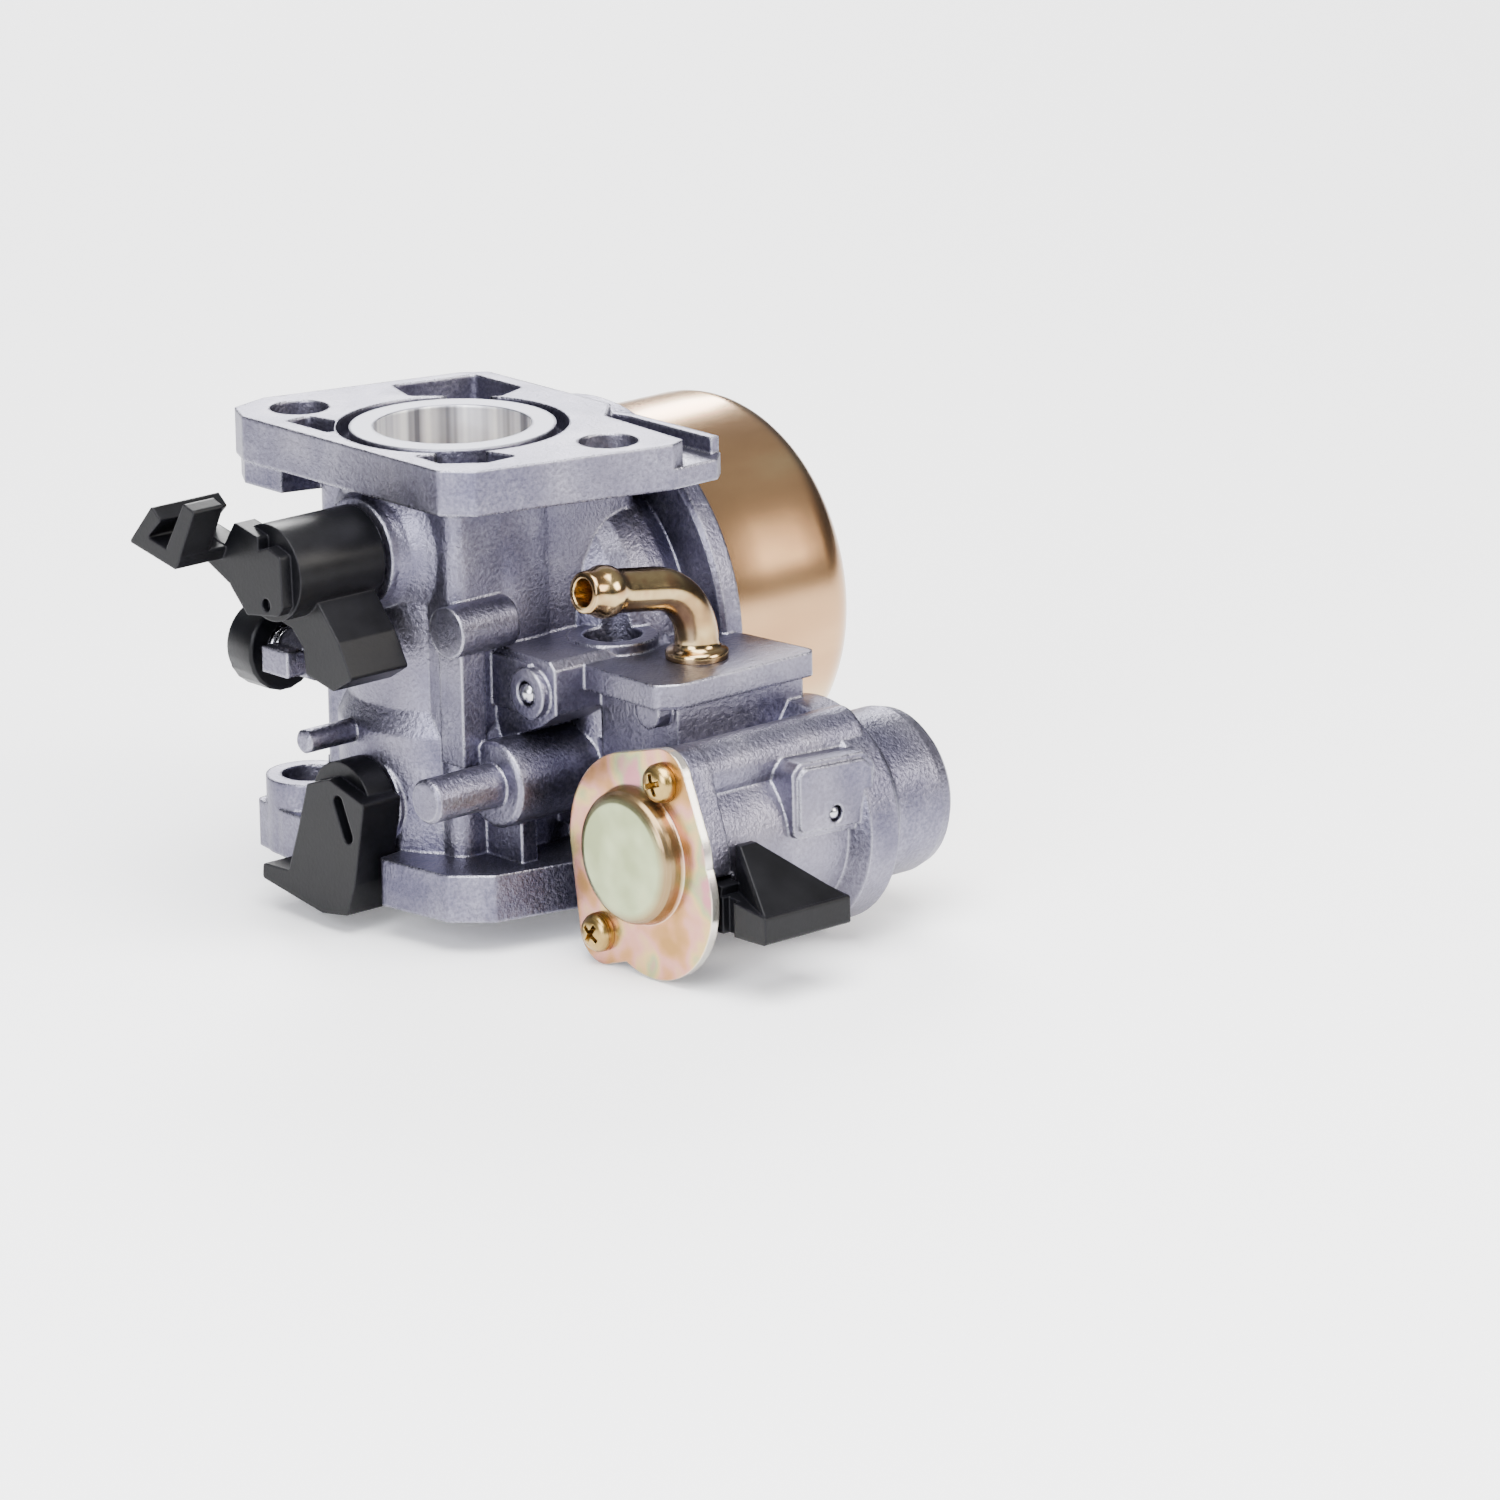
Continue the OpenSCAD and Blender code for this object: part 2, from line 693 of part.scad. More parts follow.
module main_jet() {
  color([0.85, 0.7, 0.35])
    translate([0, 0, bowl_z])
      difference() {
        bar_x(36.5, 39.4, 2.9);
        bar_x(36, 40, 0.55);
        block([38.6, -3, -0.4], [40, 3, 0.4]);
      }
}

// ---- float chamber ----

module float() {
  color([0.85, 0.84, 0.78])
    difference() {
      union() {
        difference() {
          turned_x([[27.6, 8], [27.6, 19], [28.4, 20], [34.2, 20], [35.4, 18.8], [35.4, 8]], 0, bowl_z);
          block([26, -21, 41.5], [37, 21, 52]);
          block([26, -6.2, 37.5], [37, 6.2, 52]);
        }
        block([26.9, -8.4, 36.4], [28.2, 8.4, 39.5]);
        block([26.9, -4.8, 38], [28.2, 4.8, float_pin_z]);
        bar_y(-5, 5, 1.6, float_pin_x, float_pin_z);
        for (s = [-1, 1])
          block([26.9, s * 7 - 3, 33], [28.2, s * 7 + 3, 39.5]);
      }
      bar_y(-6, 6, float_pin_r + running_gap, float_pin_x, float_pin_z);
      bar_x(26, 37, 8, 0, bowl_z);
    }
}

module float_hinge_pin() {
  color([0.75, 0.75, 0.77])
    bar_y(-8.4, 8.4, float_pin_r, float_pin_x, float_pin_z);
}

module inlet_needle() {
  color([0.6, 0.6, 0.62])
    turned_x([[18.9, 0], [20.6, 1.65], [25, 1.65], [25.4, 1.2], [25.4, 0.8], [26.7, 0.8], [26.7, 0]],
             0, needle_z);
}

module needle_seat() {
  color([0.85, 0.7, 0.35])
    turned_x([[16, 0.9], [16, 3], [23.4, 3], [23.4, 1.75], [20.4, 1.75], [18.8, 0.9]], 0, needle_z);
}

module bowl_gasket() {
  color([0.1, 0.1, 0.1])
    turned_x([[gasket_x + seat_gap, 21.6], [gasket_x + seat_gap, 24.2], [bowl_rim_x - seat_gap, 24.2],
              [bowl_rim_x - seat_gap, 21.6]], 0, bowl_z);
}

edge_r = 5.3;
drain_y = 10;
drain_z = bowl_z + 6.5;

module float_bowl() {
  inner_r = edge_r - bowl_wall;
  mid_x = bowl_bottom_x - edge_r;
  mid_r = bowl_r - edge_r;
  color([0.86, 0.7, 0.45])
    difference() {
      union() {
        turned_x(concat([[bowl_rim_x, bowl_r - bowl_wall], [bowl_rim_x, 24.2], [bowl_rim_x + 0.5, 24.2],
                         [bowl_rim_x + 0.9, 23.8], [bowl_rim_x + 1.1, bowl_r]],
                        [for (i = [0:8]) [mid_x + edge_r * sin(i * 11.25),
                                          mid_r + edge_r * cos(i * 11.25)]],
                        [[bowl_bottom_x, 3.1], [bowl_bottom_x - bowl_wall, 3.1]],
                        [for (i = [8:-1:0]) [mid_x + inner_r * sin(i * 11.25),
                                             mid_r + inner_r * cos(i * 11.25)]]), 0, bowl_z);
        bar_x(42.2, bowl_bottom_x - 0.2, 4, drain_y, drain_z);
      }
      bar_x(41, bowl_bottom_x + 1, 2.5 + seat_gap, drain_y, drain_z);
    }
}

module hex_bolt(x0, head_x, x1, shank_r, across) {
  bar_x(x0, head_x + eps, shank_r);
  intersection() {
    translate([head_x, 0, 0])
      rotate([0, 90, 0])
        cylinder(r = across / sqrt(3), h = x1 - head_x, $fn = 6);
    turned_x([[head_x, 0], [head_x, across * 0.6], [x1 - 0.8, across * 0.6], [x1, across * 0.47],
              [x1, 0]]);
  }
}

module bowl_bolt() {
  color([0.8, 0.74, 0.55])
    translate([0, 0, bowl_z])
      hex_bolt(39.9, bowl_bottom_x + 1, bowl_bottom_x + 5.3, 2.9, 10);
}

module washer_x(x0, x1, inner, outer) {
  turned_x([[x0, inner], [x0, outer], [x1, outer], [x1, inner]]);
}

module bowl_bolt_washer() {
  color([0.7, 0.42, 0.25])
    translate([0, 0, bowl_z])
      washer_x(bowl_bottom_x + seat_gap, bowl_bottom_x + 1 - seat_gap, 3.1, 6.4);
}

module drain_screw() {
  color([0.8, 0.74, 0.55])
    translate([0, drain_y, drain_z])
      hex_bolt(40.8, bowl_bottom_x + 0.9, bowl_bottom_x + 4.4, 2.5, 8);
}

module drain_washer() {
  color([0.7, 0.42, 0.25])
    translate([0, drain_y, drain_z])
      washer_x(bowl_bottom_x + seat_gap, bowl_bottom_x + 0.9 - seat_gap, 2.6, 4.3);
}

// ---- fuel inlet ----

// the bend is drawn a hair thinner than the straight runs it joins
bend_step = 0.03;

// one skin of the bent tube, from below the shelf to the open end
module elbow_run(r, low, reach, end_pts) {
  translate([elbow_x, elbow_y, 0]) {
    translate([0, 0, low])
      cylinder(r = r, h = elbow_bend_z - low + 0.1);
    translate([-elbow_bend_r, 0, elbow_bend_z]) {
      rotate([90, 0, 0])
        rotate_extrude(angle = elbow_turn)
          translate([elbow_bend_r, 0])
            circle(r = r - bend_step, $fn = 48);
      rotate([0, -elbow_turn, 0])
        translate([elbow_bend_r, 0, 0])
          turned_z(concat([[-0.1, 0], [-0.1, r]], end_pts, [[reach, 0]]));
    }
  }
}

module fuel_elbow() {
  color([0.72, 0.58, 0.36])
    difference() {
      union() {
        elbow_run(tube_r, 26.2, 11.15, [[6.65, tube_r], [7.65, 3.2], [8.85, 3.2], [11.15, 2.5]]);
        translate([elbow_x, elbow_y, shelf_z + seat_gap])
          turned_z([[0, 0], [0, 3.8], [0.9, 3.8], [1.4, 3.3], [1.4, 0]]);
      }
      elbow_run(1.6, 26, 12.05, [[12.05, 1.6]]);
    }
}

handle_outline = [[-50.9, 8.1], [-59.6, 7.1], [-59.6, 3.7], [-50.9, 3.6]];

module fuel_valve_lever() {
  color([0.13, 0.13, 0.16])
    difference() {
      union() {
        bar_x(-3.6, -0.9, 8.9, valve_y, valve_z);
        // arm through the window of the housing
        slab_x(-3.6, -0.9, [for (p = [[7.6, 187], [13, 187], [13, 201], [7.6, 201]])
                            [valve_y + p[0] * cos(p[1]), valve_z + p[0] * sin(p[1])]]);
        slab_x(-3.7, 9.5, rounded(handle_outline, 0.4));
        // web that slopes from the root to the tip
        hull() {
          block([-0.5, -51.7, 4.4], [2, -50.8, 13.5]);
          block([-3.4, -59.2, 4.4], [9.2, -58.6, 7.1]);
        }
      }
      // fuel pocket in the back face
      turned_x([[-1.9, 3.6], [-1.9, 6.4], [-0.8, 6.4], [-0.8, 3.6]], valve_y, valve_z);
      block([-5, -54, 3], [-2.7, -52.1, 9]);
    }
}

module valve_packing() {
  color([0.1, 0.1, 0.1])
    translate([0, valve_y, valve_z])
      difference() {
        bar_x(-0.8, 1.7, 9);
        for (a = [45:90:315])
          bar_x(-2, 3, 1.5, 5 * cos(a), 5 * sin(a));
      }
}

module valve_wave_washer() {
  color([0.75, 0.75, 0.77])
    translate([0, valve_y, valve_z])
      washer_x(-4.1, -3.75, 6.6, 8.7);
}

module valve_cover_plate() {
  color([0.84, 0.68, 0.6])
    translate([0, valve_y, valve_z])
      difference() {
        union() {
          translate([-5.5, 0, 0])
            rotate([90, 0, 90])
              linear_extrude(5.5 + valve_face_x - seat_gap) {
                circle(r = cover_plate_r);
                ear(cover_plate_r, 4, screw_a);
                ear(cover_plate_r, 4, screw_b);
                // lower half, wider than the housing
                translate(plate_low)
                  circle(r = 11);
              }
          // pressed dome
          turned_x([[-5.4, 0], [-5.4, 8.5], [-5.8, 8.25], [-6.6, 8.15], [-7.2, 8], [-7.65, 7.7],
                    [-7.95, 7.25], [-8.1, 6.7], [-8.2, 4], [-8.2, 0]]);
        }
        turned_x([[-4, 0], [-4, 7.4], [-6.6, 7.3], [-7.1, 6.9], [-7.35, 6.2], [-7.4, 4], [-7.4, 0]]);
        bar_x(-8, -3, 1.5, screw_a[0], screw_a[1]);
        bar_x(-8, -3, 1.5, screw_b[0], screw_b[1]);
      }
}

module valve_cover_screws() {
  color([0.85, 0.75, 0.5])
    for (at = [screw_a, screw_b])
      translate([0, valve_y + at[0], valve_z + at[1]])
        difference() {
          union() {
            bar_x(-5.6, 6.2, 1.4);
            turned_x([[-5.52, 0], [-5.52, 2.4], [-6.4, 2.35], [-7.1, 1.8], [-7.4, 0]]);
          }
          block([-8, -1.5, -0.35], [-6.6, 1.5, 0.35]);
          block([-8, -0.35, -1.5], [-6.6, 0.35, 1.5]);
        }
}

module sediment_cup() {
  color([0.66, 0.66, 0.71])
    translate([0, valve_y, valve_z]) {
      turned_x([[19.6, 7.1], [19.6, 8.2], [20, 8.55], [cup_face_x + 0.05, 8.55],
                [cup_face_x + 0.05, 10.6], [cup_face_x + 2.2, 10.6], [cup_face_x + 2.8, 10.2],
                [33.6, 10.2], [35.2, 9.8], [36.2, 8.8], [36.5, 7.4], [36.5, 0], [34.4, 0], [34.4, 6.2],
                [33.6, 7.1]]);
      hex_bolt(36, 36.4, 39.4, 4.6, 10);
    }
}

module sediment_cup_o_ring() {
  color([0.1, 0.1, 0.1])
    translate([23.22, valve_y, valve_z])
      rotate([0, 90, 0])
        ring(9.34, 0.74);
}

module fuel_strainer() {
  color([0.3, 0.45, 0.6])
    translate([0, valve_y, valve_z])
      turned_x([[8.7, 0], [8.7, 5.9], [17.3, 5.9], [17.3, 8.3], [18.6, 8.3], [18.6, 5.3], [9.4, 5.3],
                [9.4, 0]]);
}

module passage_balls() {
  color([0.8, 0.8, 0.82]) {
    translate([-5.4, -20.1, 26.8])
      sphere(r = 1.4, $fn = 32);
    translate([14.7, -50.4, 14.3])
      sphere(r = 1, $fn = 32);
  }
}

carburetor_body();
throttle_shaft();
throttle_valve();
throttle_valve_screws();
throttle_lever();
throttle_shaft_seal();
choke_shaft();
choke_valve();
choke_valve_screw();
choke_arm();
idle_speed_screw();
idle_speed_spring();
pilot_jet();
pilot_jet_o_ring();
mixture_screw();
mixture_screw_spring();
main_nozzle();
main_jet();
float();
float_hinge_pin();
inlet_needle();
needle_seat();
bowl_gasket();
float_bowl();
bowl_bolt();
bowl_bolt_washer();
drain_screw();
drain_washer();
fuel_elbow();
fuel_valve_lever();
valve_packing();
valve_wave_washer();
valve_cover_plate();
valve_cover_screws();
sediment_cup();
sediment_cup_o_ring();
fuel_strainer();
passage_balls();
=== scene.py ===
"""Looks of a small-engine carburetor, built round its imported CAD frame."""

import json
import math

import bmesh
import bpy
from mathutils import Matrix, Vector


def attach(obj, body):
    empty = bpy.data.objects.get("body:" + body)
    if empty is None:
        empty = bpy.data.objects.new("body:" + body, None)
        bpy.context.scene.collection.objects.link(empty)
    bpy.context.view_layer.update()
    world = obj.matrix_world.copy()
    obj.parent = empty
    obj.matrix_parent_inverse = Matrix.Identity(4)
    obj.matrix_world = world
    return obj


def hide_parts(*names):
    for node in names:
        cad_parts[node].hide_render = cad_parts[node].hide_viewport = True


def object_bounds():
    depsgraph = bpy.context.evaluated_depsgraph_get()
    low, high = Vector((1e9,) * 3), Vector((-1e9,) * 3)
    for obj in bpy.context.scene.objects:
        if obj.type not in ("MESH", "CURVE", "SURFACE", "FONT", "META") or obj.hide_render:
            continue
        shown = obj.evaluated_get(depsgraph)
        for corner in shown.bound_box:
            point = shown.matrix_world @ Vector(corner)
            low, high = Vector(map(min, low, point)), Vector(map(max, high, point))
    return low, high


bl_info = {
    "name": "Carburetor",
    "version": (1, 0, 0),
    "blender": (4, 5, 0),
    "location": "3D View > Sidebar > Carburetor",
    "description": "Finishes and small pieces of a float-bowl carburetor",
    "category": "Object",
}

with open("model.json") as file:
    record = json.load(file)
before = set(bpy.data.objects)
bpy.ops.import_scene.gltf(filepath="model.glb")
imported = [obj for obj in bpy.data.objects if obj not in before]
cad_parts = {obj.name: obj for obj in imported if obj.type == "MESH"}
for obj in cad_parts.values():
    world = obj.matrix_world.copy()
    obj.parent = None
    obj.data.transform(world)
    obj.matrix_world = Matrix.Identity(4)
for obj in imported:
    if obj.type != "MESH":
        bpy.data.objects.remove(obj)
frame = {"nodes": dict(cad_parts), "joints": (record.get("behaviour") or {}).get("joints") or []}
CAD_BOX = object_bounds()
MM = 0.001
# where the hinges stand, in mm
AXIS = {joint["name"]: [c / MM for c in joint["pos_m"]] for joint in frame["joints"] if "pos_m" in joint}
VALVE_Y, VALVE_Z = AXIS["fuel_lever_hinge"][1:]
IDLE_X, IDLE_Z = AXIS["idle_screw_hinge"][0], AXIS["idle_screw_hinge"][2]
MIXTURE_X, MIXTURE_Z = AXIS["mixture_screw_hinge"][0], AXIS["mixture_screw_hinge"][2]
BOWL_Z = 28.5


# ---- small helpers ----


def linear(code):
    """An sRGB hex code as linear red, green, blue and alpha."""
    parts = [int(code[i : i + 2], 16) / 255 for i in (1, 3, 5)]
    return [p / 12.92 if p <= 0.04045 else ((p + 0.055) / 1.055) ** 2.4 for p in parts] + [1.0]


def plug(tree, node, values):
    """Links or sets a node's inputs, by name or number; a hex code is a colour."""
    for key, value in values.items():
        if isinstance(value, bpy.types.NodeSocket):
            tree.links.new(value, node.inputs[key])
        else:
            node.inputs[key].default_value = linear(value) if isinstance(value, str) else value


def add(tree, kind, values=None, stops=None, **settings):
    """Adds a node with its settings and inputs and gives back its outputs.

    The stops of a colour ramp are (position, hex colour or grey) pairs.
    """
    node = tree.nodes.new("ShaderNode" + kind)
    for key, value in settings.items():
        setattr(node, key, value)
    plug(tree, node, values or {})
    if stops:
        marks = node.color_ramp.elements
        while len(marks) < len(stops):
            marks.new(0.5)
        for mark, (position, colour) in zip(marks, stops):
            mark.position = position
            mark.color = linear(colour) if isinstance(colour, str) else (colour, colour, colour, 1)
    return node.outputs


def start(name):
    """A new material: itself, its node tree and the Object coordinates."""
    material = bpy.data.materials.new(name)
    material.use_nodes = True
    return material, material.node_tree, add(material.node_tree, "TexCoord")["Object"]


def finished(material, **values):
    """Sets the material's shader and gives the material back; an underscore stands for a space."""
    named = {key.replace("_", " "): value for key, value in values.items()}
    plug(material.node_tree, material.node_tree.nodes["Principled BSDF"], named)
    return material


def per_mm(millimetres):
    """The Scale of a noise whose patches are about that many millimetres across."""
    return 1 / (millimetres * MM)


def rounded_edges(tree, millimetres):
    """A normal that rounds sharp edges, and a mask that is 1 on them."""
    soft = add(tree, "Bevel", {"Radius": millimetres * MM}, samples=6)["Normal"]
    flat = add(tree, "NewGeometry")["True Normal"]
    along = add(tree, "VectorMath", {0: soft, 1: flat}, operation="DOT_PRODUCT")["Value"]
    limits = {"Value": along, "From Min": 0.985, "From Max": 0.86, "To Min": 0.0, "To Max": 1.0}
    return soft, add(tree, "MapRange", limits)["Result"]


# ---- finishes ----


def die_cast_aluminium():
    """Aluminium as it leaves the die: a grey skin with a lilac cast and a sandy grain, paler on the edges,
    partly as fettled wear and partly as a painted edge highlight, and turned in the throat, where painted
    reflection streaks run, and on the sealing ring."""
    material, tree, place = start("Die-cast aluminium")
    soft, edge = rounded_edges(tree, 0.6)
    x, y, z = add(tree, "SeparateXYZ", {"Vector": place})
    # grain of the die's skin, 0.45 mm, with 6 mm flow marks and 17 mm stains
    grain = add(tree, "TexNoise", {"Vector": place, "Scale": per_mm(0.45), "Detail": 2, "Roughness": 0.6})[0]
    cloud = add(tree, "TexNoise", {"Vector": place, "Scale": per_mm(6), "Detail": 3, "Roughness": 0.5})[0]
    stain = add(tree, "TexNoise", {"Vector": place, "Scale": per_mm(17), "Detail": 2, "Roughness": 0.5})[0]
    skin = add(tree, "ValToRGB", {0: cloud}, [(0.3, "#5f5d70"), (0.55, "#757384"), (0.8, "#8f8d9b")])[0]
    pits = add(tree, "ValToRGB", {0: grain}, [(0.35, 0.6), (0.68, 0.0)])[0]
    skin = add(tree, "Mix", {0: pits, 6: skin, 7: "#3f3e4e"}, data_type="RGBA")[2]
    stained = add(tree, "ValToRGB", {0: stain}, [(0.42, 0.0), (0.75, 0.35)])[0]
    skin = add(tree, "Mix", {0: stained, 6: skin, 7: "#9e9aa2"}, data_type="RGBA")[2]
    # paler edges: partly fettled wear, partly a painted edge highlight
    edge_wear_and_highlight = add(tree, "Math", {0: edge, 1: 0.3}, operation="MULTIPLY")[0]
    skin = add(tree, "Mix", {0: edge_wear_and_highlight, 6: skin, 7: "#d6d6de"}, data_type="RGBA")[2]
    # turned surfaces: the two throat bores, and the ring on the engine face
    outward = add(tree, "CombineXYZ", {"X": x, "Y": y, "Z": 0.0})[0]
    radius = add(tree, "VectorMath", {0: outward}, operation="LENGTH")["Value"]
    in_bore = add(tree, "Math", {0: radius, 1: 9.62 * MM}, operation="LESS_THAN")[0]
    high = add(tree, "Math", {0: z, 1: 20.6 * MM}, operation="GREATER_THAN")[0]
    in_choke = add(tree, "Math", {0: radius, 1: 12.1 * MM}, operation="LESS_THAN")[0]
    low = add(tree, "Math", {0: z, 1: 20.6 * MM}, operation="LESS_THAN")[0]
    in_ring = add(tree, "Math", {0: radius, 1: 12.45 * MM}, operation="LESS_THAN")[0]
    on_face = add(tree, "Math", {0: z, 1: 54.9 * MM}, operation="GREATER_THAN")[0]
    engine_bore = add(tree, "Math", {0: in_bore, 1: high}, operation="MULTIPLY")[0]
    choke_bore = add(tree, "Math", {0: in_choke, 1: low}, operation="MULTIPLY")[0]
    ring = add(tree, "Math", {0: in_ring, 1: on_face}, operation="MULTIPLY")[0]
    bores = add(tree, "Math", {0: engine_bore, 1: choke_bore}, operation="MAXIMUM")[0]
    turned = add(tree, "Math", {0: bores, 1: ring}, operation="MAXIMUM")[0]
    # painted reflection streaks along the bore, 2.5 mm apart round it: light and dark bands up to white that
    # stand in for the bore's interreflections; the sealing ring gets a plain grey instead
    pattern = {"Vector": outward, "Scale": per_mm(2.5), "Detail": 2, "Roughness": 0.6}
    reflection_streak = add(tree, "TexNoise", pattern)[0]
    turned_tone_and_painted_streaks = add(tree, "ValToRGB", {0: reflection_streak}, [(0.36, "#77777f"), (0.5, "#d6d6dc"), (0.62, "#ffffff")])[0]
    turned_tone_and_painted_streaks = add(tree, "Mix", {0: ring, 6: turned_tone_and_painted_streaks, 7: "#85858f"}, data_type="RGBA")[2]
    colour = add(tree, "Mix", {0: turned, 6: skin, 7: turned_tone_and_painted_streaks}, data_type="RGBA")[2]
    rough = add(tree, "Math", {0: grain, 1: 0.2, 2: 0.3}, operation="MULTIPLY_ADD")[0]
    smoothed = add(tree, "Math", {0: edge, 1: 0.12}, operation="MULTIPLY")[0]
    rough = add(tree, "Math", {0: rough, 1: smoothed}, operation="SUBTRACT")[0]
    rough = add(tree, "Mix", {0: turned, 6: rough, 7: (0.48, 0.48, 0.48, 1)}, data_type="RGBA")[2]
    # the grain stands up everywhere but on the turned surfaces
    cast = add(tree, "Math", {0: 1.0, 1: turned}, operation="SUBTRACT")[0]
    height = add(tree, "Math", {0: grain, 1: cast}, operation="MULTIPLY")[0]
    shape = add(tree, "Bump", {"Height": height, "Strength": 0.75, "Distance": 0.14 * MM, "Normal": soft})[0]
    shape = add(tree, "Bump", {"Height": cloud, "Strength": 0.35, "Distance": 0.5 * MM, "Normal": shape})[0]
    return finished(material, Base_Color=colour, Roughness=rough, Normal=shape, Metallic=1.0)


def moulded_nylon():
    """Glass-filled nylon: near black with a satin, faintly orange-peel skin, and edges lightened partly as
    dulled wear and partly as a painted highlight.
    """
    material, tree, place = start("Moulded black nylon")
    soft, edge = rounded_edges(tree, 0.35)
    peel = add(tree, "TexNoise", {"Vector": place, "Scale": per_mm(0.5), "Detail": 3, "Roughness": 0.6})[0]
    patch = add(tree, "TexNoise", {"Vector": place, "Scale": per_mm(5), "Detail": 2, "Roughness": 0.5})[0]
    colour = add(tree, "ValToRGB", {0: patch}, [(0.3, "#050507"), (0.7, "#0b0b0e")])[0]
    # lighter edges: partly dulled wear, partly a painted edge highlight
    edge_wear_and_highlight = add(tree, "Math", {0: edge, 1: 0.3}, operation="MULTIPLY")[0]
    colour = add(tree, "Mix", {0: edge_wear_and_highlight, 6: colour, 7: "#26262d"}, data_type="RGBA")[2]
    rough = add(tree, "Math", {0: patch, 1: 0.16, 2: 0.3}, operation="MULTIPLY_ADD")[0]
    shape = add(tree, "Bump", {"Height": peel, "Strength": 0.25, "Distance": 0.06 * MM, "Normal": soft})[0]
    return finished(
        material, Base_Color=colour, Roughness=rough, Normal=shape, IOR=1.5, Specular_IOR_Level=0.16
    )


def yellow_zinc_sheet():
    """Drawn steel sheet, zinc plated and yellow passivated: brown gold, with copper and straw zones
    that are partly the film's tint and partly painted reflection bands, edges lightened partly as wear
    and partly as a painted highlight, and fine draw lines that run round the bowl."""
    material, tree, place = start("Yellow passivated zinc sheet")
    soft, edge = rounded_edges(tree, 0.4)
    x, y, z = add(tree, "SeparateXYZ", {"Vector": place})
    # slow change of film thickness round the bowl, slower still along it; the dark brown and cream bands this
    # gives along the bowl are partly the film's tint and partly painted reflection bands
    drawn = add(tree, "Mapping", {"Vector": place, "Scale": (0.35, 1.0, 1.0)})[0]
    film = add(tree, "TexNoise", {"Vector": drawn, "Scale": per_mm(26), "Detail": 2, "Roughness": 0.45})[0]
    drift = add(tree, "TexNoise", {"Vector": drawn, "Scale": per_mm(7), "Detail": 3, "Roughness": 0.5})[0]
    film = add(tree, "Math", {0: film, 1: 0.1}, operation="SUBTRACT")[0]
    film = add(tree, "Math", {0: drift, 1: 0.22, 2: film}, operation="MULTIPLY_ADD")[0]
    tints = [(0.28, "#8f6a4c"), (0.42, "#a37d59"), (0.52, "#b8926a")]
    tints += [(0.62, "#c7aa7f"), (0.72, "#ab7d60"), (0.85, "#9b6d5c")]
    colour = add(tree, "ValToRGB", {0: film}, tints)[0]
    # draw lines, 0.3 mm apart along the bowl's axis
    across = add(tree, "CombineXYZ", {"X": x, "Y": 0.0, "Z": 0.0})[0]
    lines = add(tree, "TexNoise", {"Vector": across, "Scale": per_mm(0.3), "Detail": 2, "Roughness": 0.6})[0]
    # pale cream edges: partly worn plating, partly a painted edge highlight
    edge_wear_and_highlight = add(tree, "Math", {0: edge, 1: 0.35}, operation="MULTIPLY")[0]
    colour = add(tree, "Mix", {0: edge_wear_and_highlight, 6: colour, 7: "#f6e6c4"}, data_type="RGBA")[2]
    rough = add(tree, "Math", {0: lines, 1: 0.08, 2: 0.2}, operation="MULTIPLY_ADD")[0]
    shape = add(tree, "Bump", {"Height": lines, "Strength": 0.12, "Distance": 0.02 * MM, "Normal": soft})[0]
    return finished(
        material,
        Base_Color=colour,
        Roughness=rough,
        Metallic=1.0,
        Normal=shape,
        Coat_Weight=0.25,
        Coat_Roughness=0.12,
    )


